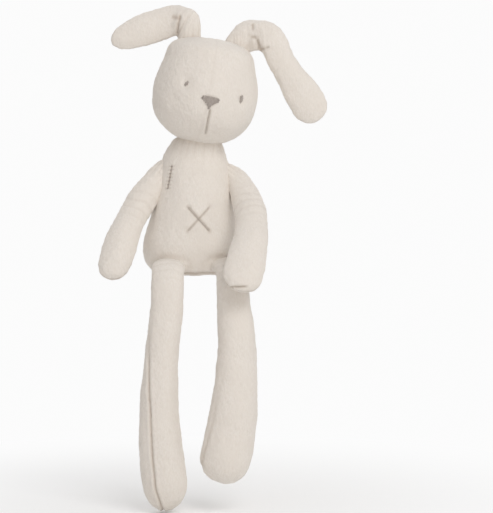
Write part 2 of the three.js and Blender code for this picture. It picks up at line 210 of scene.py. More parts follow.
class Spine:
    """The middle line of a form, with the size of its section all along it."""

    SAMPLES = 24

    def __init__(self, origin: np.ndarray, stations: list[tuple], face: np.ndarray) -> None:
        """Lays a smooth line through the stations.

        Args:
            origin: The point that the stations are measured from, in metres.
            stations: Rows of x, y, z, half width and half depth, in mm.
            face: The direction that the form's front looks along.
        """
        rows = np.array(stations, float)
        rows[:, :3] = rows[:, :3] * MM + origin
        rows[:, 3:] *= MM
        line = self._smooth(rows)
        self.points = line[:, :3]
        self.sizes = line[:, 3:]
        self.tangents = np.gradient(self.points, axis=0)
        self.tangents /= np.linalg.norm(self.tangents, axis=1, keepdims=True)
        through = face - self.tangents * (self.tangents @ face)[:, None]
        self.through = through / np.linalg.norm(through, axis=1, keepdims=True)
        self.across = np.cross(self.through, self.tangents)
        steps = np.linalg.norm(np.diff(self.points, axis=0), axis=1)
        self.along = np.concatenate([[0.0], np.cumsum(steps)])

    @classmethod
    def _smooth(cls, rows: np.ndarray) -> np.ndarray:
        """Rows between the given ones, on curves that pass through them all.

        Args:
            rows: The given rows.

        Returns:
            The given rows with the new ones between them.
        """
        padded = np.vstack([2 * rows[0] - rows[1], rows, 2 * rows[-1] - rows[-2]])
        shares = np.linspace(0, 1, cls.SAMPLES, endpoint=False)[:, None]
        pieces = []
        for i in range(len(rows) - 1):
            a, b, c, d = padded[i : i + 4]
            pieces.append(
                0.5
                * (
                    2 * b
                    + (c - a) * shares
                    + (2 * a - 5 * b + 4 * c - d) * shares**2
                    + (3 * b - a - 3 * c + d) * shares**3
                )
            )
        return np.vstack([*pieces, rows[-1:]])

    def at(self, share: np.ndarray, values: np.ndarray) -> np.ndarray:
        """Values read part of the way along the line.

        Args:
            share: From 0 at the start to 1 at the end.
            values: One row for each sample of the line.

        Returns:
            One row for each share.
        """
        place = share * self.along[-1]
        return np.column_stack([np.interp(place, self.along, column) for column in values.T])

    def locate(self, points: np.ndarray) -> tuple[np.ndarray, np.ndarray, np.ndarray]:
        """Where points lie beside the line.

        Args:
            points: The points, one row each.

        Returns:
            For each point how far along the line it is, how far across and how far
            through towards the face, in metres.
        """
        gap = points[:, None, :] - self.points[None, :, :]
        nearest = np.argmin(np.einsum("ijk,ijk->ij", gap, gap), axis=1)
        beside = gap[np.arange(len(points)), nearest]
        along = self.along[nearest] + np.einsum("ij,ij->i", beside, self.tangents[nearest])
        across = np.einsum("ij,ij->i", beside, self.across[nearest])
        through = np.einsum("ij,ij->i", beside, self.through[nearest])
        return along, across, through


@dataclass
class Form:
    """One stuffed shape, cut a little smaller than it ends up once it is filled.

    Attributes:
        spine: Its middle line and sizes.
        start: How it closes where the line starts.
        end: How it closes where the line ends.
        slack: How much smaller it is cut than its full size, in mm.
    """

    spine: Spine
    start: Rounding
    end: Rounding
    slack: float = 1.0

    SEGMENTS = 32
    RINGS = 48
    END_RINGS = 10

    def cut(self, name: str) -> bpy.types.Object:
        """Makes the shape from a ball whose rings are laid along the line.

        Args:
            name: The new object's name.

        Returns:
            The object.
        """
        bpy.ops.mesh.primitive_uv_sphere_add(
            segments=self.SEGMENTS, ring_count=self.RINGS, radius=1.0
        )
        ball = bpy.context.active_object
        ball.name = name
        points = read_points(ball)
        flat = np.hypot(points[:, 0], points[:, 1])
        ring = (1 - np.arctan2(flat, points[:, 2]) / math.pi) * self.RINGS
        turn = points[:, :2] / np.maximum(flat, 1e-9)[:, None]
        turn[flat < 1e-6] = 0.0
        write_points(ball, self._lay(np.round(ring), turn))
        return ball

    def _lay(self, ring: np.ndarray, turn: np.ndarray) -> np.ndarray:
        """Places for ring numbers and directions round the line.

        Args:
            ring: The ring each point is on.
            turn: Its direction round the line.

        Returns:
            One point a row, in metres.
        """
        ends, rings = self.END_RINGS, self.RINGS
        share = np.clip((ring - ends) / (rings - 2 * ends), 0, 1)
        closing = np.zeros(len(ring))
        width = np.ones(len(ring))
        for rounding, inside, sign in (
            (self.start, ring, -1),
            (self.end, rings - ring, 1),
        ):
            rows = inside < ends
            lean = (1 - inside[rows] / ends) * math.pi / 2
            closing[rows] = sign * rounding.reach * MM * np.sin(lean) ** (2 / rounding.square)
            width[rows] = np.maximum(np.cos(lean), 0) ** (2 / rounding.square)
        at = self.spine.at
        sizes = at(share, self.spine.sizes) - self.slack * MM
        reach = np.where(closing == 0, 0, closing - np.sign(closing) * self.slack * MM)
        middle = at(share, self.spine.points) + at(share, self.spine.tangents) * reach[:, None]
        across = at(share, self.spine.across) * (sizes[:, 0] * width * turn[:, 0])[:, None]
        through = at(share, self.spine.through) * (sizes[:, 1] * width * turn[:, 1])[:, None]
        return middle + across + through


# --- meshes ---------------------------------------------------------------------


def read_points(piece: bpy.types.Object) -> np.ndarray:
    """The places of a mesh's points.

    Args:
        piece: The mesh object.

    Returns:
        One row for each point, in metres.
    """
    flat = np.empty(len(piece.data.vertices) * 3)
    piece.data.vertices.foreach_get("co", flat)
    return flat.reshape(-1, 3)


def read_normals(piece: bpy.types.Object) -> np.ndarray:
    """The outward directions at a mesh's points, one row each.

    Args:
        piece: The piece.

    Returns:
        One direction a row.
    """
    flat = np.empty(len(piece.data.vertices) * 3, np.float32)
    piece.data.vertex_normals.foreach_get("vector", flat)
    return flat.reshape(-1, 3).astype(float)


def write_points(piece: bpy.types.Object, points: np.ndarray) -> None:
    """Moves a mesh's points to new places.

    Args:
        piece: The piece.
        points: One point a row, in metres.
    """
    piece.data.vertices.foreach_set("co", points.ravel())
    piece.data.update()


def select_only(*pieces: bpy.types.Object) -> None:
    """Selects these objects and nothing else, the first one active.

    Args:
        pieces: The pieces.
    """
    bpy.ops.object.select_all(action="DESELECT")
    for piece in pieces:
        piece.select_set(True)
    bpy.context.view_layer.objects.active = pieces[0]


def joined(pieces: list[bpy.types.Object]) -> bpy.types.Object:
    """Joins meshes into the first one.

    Args:
        pieces: The objects to join.

    Returns:
        The joined object.
    """
    select_only(*pieces)
    if len(pieces) > 1:
        bpy.ops.object.join()
    return pieces[0]


def apply_modifiers(piece: bpy.types.Object) -> None:
    """Applies all of an object's modifiers in order.

    Args:
        piece: The piece.
    """
    select_only(piece)
    for modifier in list(piece.modifiers):
        bpy.ops.object.modifier_apply(modifier=modifier.name)


@dataclass(frozen=True)
class Stuffing:
    """How a cover is filled.

    Attributes:
        pressure: The push of the filling on the cloth.
        swell: The furthest that a point of the cloth may move, in mm.
        voxel: The size of the cloth's first mesh, in mm.
        bending: How stiff the cloth is against folding.
        steps: The length of the simulation.
        smoothing: How often the filled cloth is evened out.
    """

    pressure: float = 4.0
    swell: float = 3.0
    voxel: float = 3.4
    bending: float = 0.6
    steps: int = 20
    smoothing: int = 4

    def fill(self, cover: bpy.types.Object) -> None:
        """Fills a cut cover, and gives it a finer mesh.

        Args:
            cover: The closed shape, which becomes one even mesh.
        """
        select_only(cover)
        cover.data.remesh_voxel_size = self.voxel * MM
        cover.data.remesh_voxel_adaptivity = 0.0
        bpy.ops.object.voxel_remesh()
        even = cover.modifiers.new("even", "SMOOTH")
        even.factor = 0.5
        even.iterations = self.smoothing
        apply_modifiers(cover)
        self._simulate(cover)
        fine = cover.modifiers.new("fine", "SUBSURF")
        fine.levels = fine.render_levels = 2
        apply_modifiers(cover)

    def _simulate(self, cover: bpy.types.Object) -> None:
        """Lets the filling push the cloth out, and keeps each point near its place.

        Args:
            cover: The cover.
        """
        before = read_points(cover)
        scene = bpy.context.scene
        cloth = cover.modifiers.new("filling", "CLOTH")
        cloth.settings.quality = 6
        cloth.settings.mass = 0.2
        cloth.settings.tension_stiffness = 18
        cloth.settings.compression_stiffness = 18
        cloth.settings.shear_stiffness = 8
        cloth.settings.bending_stiffness = self.bending
        cloth.settings.use_pressure = True
        cloth.settings.uniform_pressure_force = self.pressure
        cloth.settings.effector_weights.gravity = 0
        cloth.point_cache.frame_start = 1
        cloth.point_cache.frame_end = self.steps
        for step in range(1, self.steps + 1):
            scene.frame_set(step)
        apply_modifiers(cover)
        scene.frame_set(1)
        moved = read_points(cover) - before
        length = np.linalg.norm(moved, axis=1)
        most = self.swell * MM
        kept = most * np.tanh(length / most) / np.maximum(length, 1e-9)
        write_points(cover, before + moved * kept[:, None])
        even = cover.modifiers.new("even", "SMOOTH")
        even.factor = 0.5
        even.iterations = self.smoothing
        apply_modifiers(cover)


# --- work on a filled cover -------------------------------------------------------


@dataclass(frozen=True)
class Groove:
    """The section of a sewn line, in mm.

    Attributes:
        depth: How deep the line lies.
        width: Half the width of the groove.
        puff: How far the cloth stands proud on each side.
        pucker: How much the puff changes along the line, as a share.
        pitch: The length of one pucker.
    """

    depth: float = 1.1
    width: float = 1.1
    puff: float = 0.35
    pucker: float = 0.35
    pitch: float = 6.5


class Skin:
    """The points of a filled cover while seams, gathers and pile are worked in."""

    def __init__(self, cover: bpy.types.Object) -> None:
        """Reads the cover's points and outward directions.

        Args:
            cover: The cover.
        """
        self.cover = cover
        self.rest = read_points(cover)
        self.normals = read_normals(cover)
        self.push = np.zeros(len(self.rest))
        # crease marks where the pile material paints shade into the colour.
        self.crease = np.zeros(len(self.rest))

    def groove(
        self,
        beside: np.ndarray,
        along: np.ndarray,
        cut: Groove,
        share: np.ndarray | float = 1.0,
    ) -> None:
        """Sinks a sewn line into the cover.

        Args:
            beside: How far each point is from the line, in metres.
            along: How far along the line it is, in metres.
            cut: The groove's section.
            share: How much of the groove there is at each point.
        """
        width = cut.width * MM
        off = np.abs(beside) / width
        fall = np.exp(-(off**2)) * share
        waves = 0.6 * np.sin(2 * math.pi * along / (cut.pitch * MM))
        line = np.column_stack([along, along * 0, along * 0])
        waves = waves + 0.7 * cloud(line, cut.pitch * MM * 0.6, 5)
        swell = np.exp(-(((off - 2.5) / 1.3) ** 2)) * (1 + cut.pucker * waves) * share
        self.push += (cut.puff * swell - cut.depth * (1 + 0.25 * cut.pucker * waves) * fall) * MM
        # The groove's middle is marked for painted shade.
        self.crease = np.maximum(self.crease, fall)

    def line(self, path: np.ndarray, cut: Groove, reach: float = 0.0) -> None:
        """Sinks a groove along a line drawn on the cover.

        Args:
            path: The line's points, in metres.
            cut: The groove's section.
            reach: How softly the groove ends, in mm.
        """
        beside = np.full(len(self.rest), np.inf)
        along = np.zeros(len(self.rest))
        total = 0.0
        for a, b in zip(path[:-1], path[1:]):
            step = b - a
            length = np.linalg.norm(step)
            share = np.clip((self.rest - a) @ step / length**2, 0, 1)
            off = np.linalg.norm(self.rest - a - share[:, None] * step, axis=1)
            nearer = off < beside
            beside[nearer] = off[nearer]
            along[nearer] = (total + share * length)[nearer]
            total += length
        share = 1.0
        if reach:
            share = np.clip(np.minimum(along, total - along) / (reach * MM), 0, 1)
            share = share * share * (3 - 2 * share)
        self.groove(beside, along, cut, share)

    def dimple(self, middle: np.ndarray, radius: float, depth: float, crease: float = 0.5) -> None:
        """Pulls the cover in round a point, as a stitch does.

        Args:
            middle: The point, in metres.
            radius: How far the pull reaches, in mm.
            depth: How deep it is, in mm.
            crease: How dark the painted shade in the middle is.
        """
        off = np.linalg.norm(self.rest - middle, axis=1) / (radius * MM)
        fall = np.exp(-(off**2))
        self.push -= depth * MM * fall
        # The dimple's middle is marked for painted shade.
        self.crease = np.maximum(self.crease, crease * fall**3)

    def gathers(
        self,
        middle: np.ndarray,
        axis: np.ndarray,
        count: int,
        radius: float,
        height: float,
        seed: int,
    ) -> None:
        """Pleats that run out from a sewn end.

        Args:
            middle: The middle of the sewn end, in metres.
            axis: The direction that the end looks along.
            count: How many pleats there are.
            radius: How far they reach, in mm.
            height: How high they stand, in mm.
            seed: Chooses their unevenness.
        """
        axis = axis / np.linalg.norm(axis)
        side = np.cross(axis, FRONT)
        side /= np.linalg.norm(side)
        other = np.cross(axis, side)
        beside = self.rest - middle
        turn = np.arctan2(beside @ other, beside @ side)
        near = np.linalg.norm(beside, axis=1) / (radius * MM)
        fall = np.exp(-(near**4))
        ring = np.column_stack([np.cos(turn), np.sin(turn), near * 0.5])
        waves = np.sin(turn * count + 2.2 * cloud(ring, 0.7, seed))
        height = height * (1 + 0.6 * cloud(ring, 0.4, seed + 1))
        self.push += (waves - 0.3) * height * MM * fall
        # The hollows between pleats are marked for painted shade.
        self.crease = np.maximum(self.crease, 0.35 * fall * np.clip(-waves, 0, 1) ** 2)

    def lumps(self, size: float, height: float, seed: int) -> None:
        """Unevenness of the filling.

        Args:
            size: The size of a lump, in mm.
            height: How far it stands out, in mm.
            seed: Chooses the pattern.
        """
        self.push += cloud(self.rest, size * MM, seed) * height * MM

    def ruck(
        self,
        middle: np.ndarray,
        towards: np.ndarray,
        pitch: float,
        reach: float,
        height: float,
        seed: int,
    ) -> None:
        """Soft wrinkles across a bend.

        Args:
            middle: The middle of the bend, in metres.
            towards: The direction from one wrinkle to the next.
            pitch: The distance from one wrinkle to the next, in mm.
            reach: How far from the middle they go, in mm.
            height: How high they stand, in mm.
            seed: Chooses their unevenness.
        """
        towards = towards / np.linalg.norm(towards)
        beside = self.rest - middle
        fall = np.exp(-((np.linalg.norm(beside, axis=1) / (reach * MM)) ** 2))
        drift = cloud(self.rest, pitch * 2.2 * MM, seed)
        waves = np.sin(2 * math.pi * (beside @ towards / (pitch * MM) + 0.35 * drift))
        patchy = 0.6 + 0.6 * cloud(self.rest, pitch * 1.6 * MM, seed + 3)
        self.push += waves * patchy * height * MM * fall
        # The hollows between wrinkles are marked for painted shade.
        self.crease = np.maximum(self.crease, 0.3 * fall * np.clip(-waves, 0, 1) ** 2)

    def settle(self, smoothing: int = 0) -> None:
        """Moves the cover's points by the work so far.

        Args:
            smoothing: How many times the surface is smoothed.
        """
        write_points(self.cover, self.rest + self.normals * self.push[:, None])
        if smoothing:
            even = self.cover.modifiers.new("even", "SMOOTH")
            even.factor = 0.5
            even.iterations = smoothing
            apply_modifiers(self.cover)
        self.rest = read_points(self.cover)
        self.normals = read_normals(self.cover)
        self.push = np.zeros(len(self.rest))

    def brush(self, pile: float, tuft: float, seed: int) -> None:
        """Raises the pile, and writes how deep each point lies in a crease, for the painted shade
        of the pile material.

        Args:
            pile: How far the tufts stand out, in mm.
            tuft: The size of a tuft, in mm.
            seed: Chooses the pattern.
        """
        flat = self.rest * np.array([1.0, 1.0, 0.7])
        coarse = cloud(flat, tuft * 2.1 * MM, seed)
        fine = cloud(flat, tuft * MM, seed + 1)
        short = 1 - 0.6 * self.crease
        self.push += (0.55 * coarse + 0.65 * fine) * pile * MM * short
        self.settle()
        # The crease mask is stored for the painted shade of the pile material.
        mark = self.cover.data.attributes.new(SHADE_MASK, "FLOAT", "POINT")
        mark.data.foreach_set("value", np.clip(self.crease, 0, 1).astype(np.float32))
        select_only(self.cover)
        bpy.ops.object.shade_smooth()


# --- finishes -------------------------------------------------------------------


class Wiring:
    """Places nodes in a tree and joins their sockets."""

    def __init__(self, tree: bpy.types.NodeTree) -> None:
        """Starts on an empty tree.

        Args:
            tree: The node tree to fill.
        """
        self.tree = tree
        tree.nodes.clear()

    def add(self, kind: str, settings: dict | None = None, **inputs: object) -> bpy.types.Node:
        """Adds one node.

        Args:
            kind: The node's type name without its ShaderNode prefix.
            settings: The node's own properties.
            inputs: Its input sockets by name, with _ for a space: a value or a socket.

        Returns:
            The node.
        """
        prefix = "" if kind.startswith("NodeGroup") else "ShaderNode"
        node = self.tree.nodes.new(prefix + kind)
        for name, value in (settings or {}).items():
            setattr(node, name, value)
        for name, value in inputs.items():
            self.put(node, name.replace("_", " "), value)
        return node

    def put(self, node: bpy.types.Node, name: str | int, value: object) -> None:
        """Sets an input socket to a value, or joins it to another socket.

        Args:
            node: The node.
            name: The name of its input.
            value: A number or another output.
        """
        socket = node.inputs[name]
        if isinstance(value, bpy.types.NodeSocket):
            self.tree.links.new(value, socket)
        else:
            socket.default_value = value

    def maths(self, operation: str, *values: object) -> bpy.types.NodeSocket:
        """Adds a Math node and returns its result.

        Args:
            operation: The kind of sum.
            values: The numbers or outputs that go in.

        Returns:
            The output.
        """
        node = self.add("Math", {"operation": operation})
        for index, value in enumerate(values):
            self.put(node, index, value)
        return node.outputs[0]

    def blend(self, share: object, first: object, second: object) -> bpy.types.NodeSocket:
        """Mixes two colours and returns the result.

        Args:
            share: How much of the second, from 0 to 1.
            first: The first colour.
            second: The second colour.

        Returns:
            The mixed colour.
        """
        node = self.add("Mix", {"data_type": "RGBA"})
        for index, value in ((0, share), (6, first), (7, second)):
            self.put(node, index, value)
        return node.outputs[2]

    def ramp(self, value: bpy.types.NodeSocket, low: float, high: float) -> bpy.types.NodeSocket:
        """Spreads values between two limits over 0 to 1, smoothly.

        Args:
            value: The output to spread out.
            low: Where the ramp begins.
            high: Where the ramp ends.

        Returns:
            The output, from 0 to 1.
        """
        node = self.add("MapRange", {"interpolation_type": "SMOOTHSTEP"}, Value=value)
        self.put(node, "From Min", low)
        self.put(node, "From Max", high)
        return node.outputs[0]


def new_group(
    name: str, inputs: dict[str, float | None], outputs: list[str]
) -> tuple[Wiring, bpy.types.Node, bpy.types.Node]:
    """Starts a shader node group.

    Args:
        name: The group's name.
        inputs: Its inputs, each with its usual value, or None for a vector.
        outputs: Its outputs, all of them values.

    Returns:
        The group's wiring, its input node and its output node.
    """
    tree = bpy.data.node_groups.new(name, "ShaderNodeTree")
    for title, usual in inputs.items():
        kind = "NodeSocketVector" if usual is None else "NodeSocketFloat"
        socket = tree.interface.new_socket(title, in_out="INPUT", socket_type=kind)
        if usual is not None:
            socket.default_value = usual
    for title in outputs:
        tree.interface.new_socket(title, in_out="OUTPUT", socket_type="NodeSocketFloat")
    wiring = Wiring(tree)
    return wiring, wiring.add("NodeGroupInput"), wiring.add("NodeGroupOutput")


class Effects:
    """The node groups that the finishes share, each made once."""

    def __init__(self) -> None:
        """Makes the groups."""
        self.pile = self._pile()
        self.nap_and_shade = self._nap_and_shade()
        self.fibre = self._fibre()

    @staticmethod
    def _pile() -> bpy.types.NodeTree:
        """Short pile: tufts and single fibres that lie downwards.

        Returns:
            The group.
        """
        inputs = {"Vector": None, "Tufts": 850.0, "Fibres": 2600.0, "Lie": 0.45}
        w, given, out = new_group("short_pile", inputs, ["Height", "Shade"])
        lie = w.add("CombineXYZ", X=1.0, Y=1.0, Z=given.outputs["Lie"])
        laid = w.add("VectorMath", {"operation": "MULTIPLY"})
        w.put(laid, 0, given.outputs["Vector"])
        w.put(laid, 1, lie.outputs[0])
        at = laid.outputs[0]
        tufts = w.add("TexNoise", Vector=at, Scale=given.outputs["Tufts"], Detail=2.0)
        fibres = w.add("TexNoise", Vector=at, Scale=given.outputs["Fibres"], Detail=1.0)
        scale = given.outputs["Tufts"]
        clumps = w.add("TexVoronoi", {"feature": "SMOOTH_F1"}, Vector=at, Scale=scale)
        coarse = w.maths("MULTIPLY_ADD", clumps.outputs["Distance"], -0.5, 0.5)
        body = w.maths("MULTIPLY_ADD", tufts.outputs["Fac"], 0.6, coarse)
        height = w.maths("MULTIPLY_ADD", fibres.outputs["Fac"], 0.35, body)
        w.put(out, "Height", height)
        w.put(out, "Shade", w.ramp(height, 0.35, 1.15))
        return w.tree

    @staticmethod
    def _nap_and_shade() -> bpy.types.NodeTree:
        """Where hands have brushed the nap, and the painted shade deep in the creases.

        Returns:
            The group.
        """
        inputs = {"Vector": None, "Patches": 38.0, "Depth": 0.0, "Amount": 1.0}
        w, given, out = new_group("brushed_nap_and_crease_shade", inputs, ["Brushed", "Crease Shade"])
        at, patches = given.outputs["Vector"], given.outputs["Patches"]
        broad = w.add("TexNoise", Vector=at, Scale=patches, Detail=3.0)
        w.put(broad, "Distortion", 0.6)
        small = w.maths("MULTIPLY", patches, 4.3)
        flecks = w.add("TexNoise", Vector=at, Scale=small, Detail=4.0).outputs["Fac"]
        brushed = w.maths("MULTIPLY_ADD", flecks, 0.35, w.ramp(broad.outputs["Fac"], 0.36, 0.66))
        w.put(out, "Brushed", w.maths("MULTIPLY", brushed, given.outputs["Amount"]))
        # Painted shade: the crease mask, broken up by flecks, darkens the creases.
        uneven = w.maths("MULTIPLY_ADD", flecks, 0.8, 0.6)
        deep = w.maths("MULTIPLY", given.outputs["Depth"], uneven)
        crease_shade_share = w.maths("MULTIPLY", deep, given.outputs["Amount"])
        w.put(out, "Crease Shade", w.maths("MINIMUM", crease_shade_share, 1.0))
        return w.tree

    @staticmethod
    def _fibre() -> bpy.types.NodeTree:
        """Fine fibres of a spun thread or a woven tape.

        Returns:
            The group.
        """
        inputs = {"Vector": None, "Fineness": 5200.0, "Slub": 420.0}
        w, given, out = new_group("spun_fibre", inputs, ["Height", "Shade"])
        at = given.outputs["Vector"]
        fine = w.add("TexNoise", Vector=at, Scale=given.outputs["Fineness"], Detail=2.0)
        slub = w.add("TexNoise", Vector=at, Scale=given.outputs["Slub"], Detail=2.0)
        w.put(out, "Height", w.maths("MULTIPLY_ADD", slub.outputs["Fac"], 0.5, fine.outputs["Fac"]))
        mixed = w.maths("MULTIPLY_ADD", fine.outputs["Fac"], 0.4, slub.outputs["Fac"])
        w.put(out, "Shade", w.ramp(mixed, 0.45, 0.95))
        return w.tree


Colour = tuple[float, float, float, float]


@dataclass(frozen=True)
class PileCloth:
    """Short-pile cloth, with painted shade that makes it darker and warmer down in its creases.

    Attributes:
        title: The material's name.
        light: The tips of the pile.
        dark: The foot of the pile.
        shaded: The nap where it is brushed the other way.
        crease_shade_colour: The painted shade at the bottom of a crease.
        tufts: Tufts to the metre.
        relief: How far the bump stands, in mm.
    """

    title: str = "cream_pile"
    light: Colour = (0.845, 0.808, 0.764, 1)
    dark: Colour = (0.765, 0.715, 0.656, 1)
    shaded: Colour = (0.795, 0.748, 0.692, 1)
    crease_shade_colour: Colour = (0.430, 0.350, 0.285, 1)
    tufts: float = 850.0
    relief: float = 0.55

    def make(self, effects: Effects) -> bpy.types.Material:
        """Makes the material.

        Args:
            effects: The shared node groups.

        Returns:
            The material.
        """
        material = bpy.data.materials.new(self.title)
        material.use_nodes = True
        w = Wiring(material.node_tree)
        place = w.add("TexCoord").outputs["Object"]
        deep = w.add("Attribute", {"attribute_name": SHADE_MASK}).outputs["Fac"]
        pile = w.add("Group", {"node_tree": effects.pile}, Vector=place, Tufts=self.tufts)
        nap = w.add("Group", {"node_tree": effects.nap_and_shade}, Vector=place, Depth=deep)
        tips = w.blend(pile.outputs["Shade"], self.dark, self.light)
        brushed = w.blend(w.maths("MULTIPLY", nap.outputs["Brushed"], 0.5), tips, self.shaded)
        # Painted shade: the crease mask mixes a darker, warmer colour into the creases.
        colour = w.blend(w.maths("MULTIPLY", nap.outputs["Crease Shade"], 0.62), brushed, self.crease_shade_colour)
        rough = w.maths("MULTIPLY_ADD", pile.outputs["Shade"], -0.1, 0.98)
        relief = self.relief * MM
        bump = w.add("Bump", Height=pile.outputs["Height"], Distance=relief, Strength=0.75)
        normal = bump.outputs["Normal"]
        shader = w.add("BsdfPrincipled", Base_Color=colour, Roughness=rough, Normal=normal)
        for socket, value in (
            ("Sheen Weight", 0.35),
            ("Sheen Roughness", 0.55),
            ("Sheen Tint", (1.0, 0.97, 0.93, 1)),
            ("Specular IOR Level", 0.12),
        ):
            shader.inputs[socket].default_value = value
        out = w.add("OutputMaterial")
        w.put(out, "Surface", shader.outputs[0])
        return material


@dataclass(frozen=True)
class Thread:
    """Spun thread or woven tape.

    Attributes:
        title: The material's name.
        light: The lit fibres.
        dark: The fibres between.
        fineness: Fibres to the metre.
        rough: How rough its lit fibres are.
        sheen: Its soft edge light.
        relief: How far the bump stands, in mm.
    """

    title: str
    light: Colour
    dark: Colour
    fineness: float = 5200.0
    rough: float = 0.62
    sheen: float = 0.25
    relief: float = 0.12

    def make(self, effects: Effects) -> bpy.types.Material:
        """Makes the material.

        Args:
            effects: The shared node groups.

        Returns:
            The material.
        """
        material = bpy.data.materials.new(self.title)
        material.use_nodes = True
        w = Wiring(material.node_tree)
        place = w.add("TexCoord").outputs["Object"]
        fibre = w.add("Group", {"node_tree": effects.fibre}, Vector=place, Fineness=self.fineness)
        soil = w.add("Group", {"node_tree": effects.nap_and_shade}, Vector=place, Patches=160.0)
        colour = w.blend(fibre.outputs["Shade"], self.dark, self.light)
        colour = w.blend(w.maths("MULTIPLY", soil.outputs["Brushed"], 0.25), colour, self.dark)
        rough = w.maths("MULTIPLY_ADD", fibre.outputs["Shade"], -0.12, self.rough + 0.1)
        relief = self.relief * MM
        bump = w.add("Bump", Height=fibre.outputs["Height"], Distance=relief, Strength=0.6)
        normal = bump.outputs["Normal"]
        shader = w.add("BsdfPrincipled", Base_Color=colour, Roughness=rough, Normal=normal)
        shader.inputs["Sheen Weight"].default_value = self.sheen
        shader.inputs["Sheen Roughness"].default_value = 0.4
        shader.inputs["Specular IOR Level"].default_value = 0.3
        out = w.add("OutputMaterial")
        w.put(out, "Surface", shader.outputs[0])
        return material


class Finishes:
    """All the materials of the toy, each made once."""

    def __init__(self) -> None:
        """Makes the materials."""
        effects = Effects()
        self.pile = PileCloth().make(effects)
        self.fluff = PileCloth(
            "tail_fluff",
            light=(0.83, 0.79, 0.73, 1),
            tufts=520.0,
            relief=1.0,
        ).make(effects)
        self.floss = Thread(
            "taupe_floss",
            light=(0.500, 0.455, 0.425, 1),
            dark=(0.390, 0.345, 0.315, 1),
            rough=0.5,
        ).make(effects)
        self.faded = Thread(
            "faded_floss",
            light=(0.660, 0.615, 0.570, 1),
            dark=(0.540, 0.490, 0.440, 1),
            rough=0.6,
        ).make(effects)
        self.thread = Thread(
            "cream_thread",
            light=(0.72, 0.66, 0.58, 1),
            dark=(0.52, 0.46, 0.39, 1),
        ).make(effects)
        self.tape = Thread(
            "label_tape",
            light=(0.86, 0.85, 0.82, 1),
            dark=(0.70, 0.68, 0.64, 1),
            fineness=3000.0,
            rough=0.55,
        ).make(effects)

    @staticmethod
    def wear(piece: bpy.types.Object, material: bpy.types.Material) -> None:
        """Gives a piece one material all over.

        Args:
            piece: The piece.
            material: The material.
        """
        piece.data.materials.clear()
        piece.data.materials.append(material)
        faces = piece.data.polygons
        faces.foreach_set("material_index", np.zeros(len(faces), np.int32))
        piece.data.update()


# --- thread ---------------------------------------------------------------------


class Surface:
    """A cover's outer face, to lay stitches on."""

    def __init__(self, skin: Skin) -> None:
        """Keeps the face as it is now.

        Args:
            skin: The cover that is worked.
        """
        polygons = [tuple(polygon.vertices) for polygon in skin.cover.data.polygons]
        self.tree = BVHTree.FromPolygons([Vector(p) for p in skin.rest], polygons)

    def front(self, across: float, up: float) -> tuple[np.ndarray, np.ndarray]:
        """The point that is seen from the front at a place.

        Args:
            across: Its X, in metres.
            up: Its Z, in metres.

        Returns:
            The point and the outward direction there.
        """
        point, normal, _, _ = self.tree.ray_cast(Vector((across, -1.0, up)), Vector((0, 1, 0)))
        if point is None:
            point, normal, _, _ = self.tree.find_nearest(Vector((across, -0.05, up)))
        return np.array(point), np.array(normal)

    def drawn(self, corners: list[np.ndarray], step: float = 0.8) -> tuple[np.ndarray, np.ndarray]:
        """A line drawn on the front through some corners.

        Args:
            corners: Points whose X and Z are used.
            step: The distance between the line's points, in mm.

        Returns:
            The line's points and the outward directions there.
        """
        places = []
        for a, b in zip(corners[:-1], corners[1:]):
            count = max(2, int(np.linalg.norm(b - a) / (step * MM)))
            places += [a + (b - a) * i / count for i in range(count)]
        hits = [self.front(p[0], p[2]) for p in [*places, corners[-1]]]
        return np.array([h[0] for h in hits]), np.array([h[1] for h in hits])


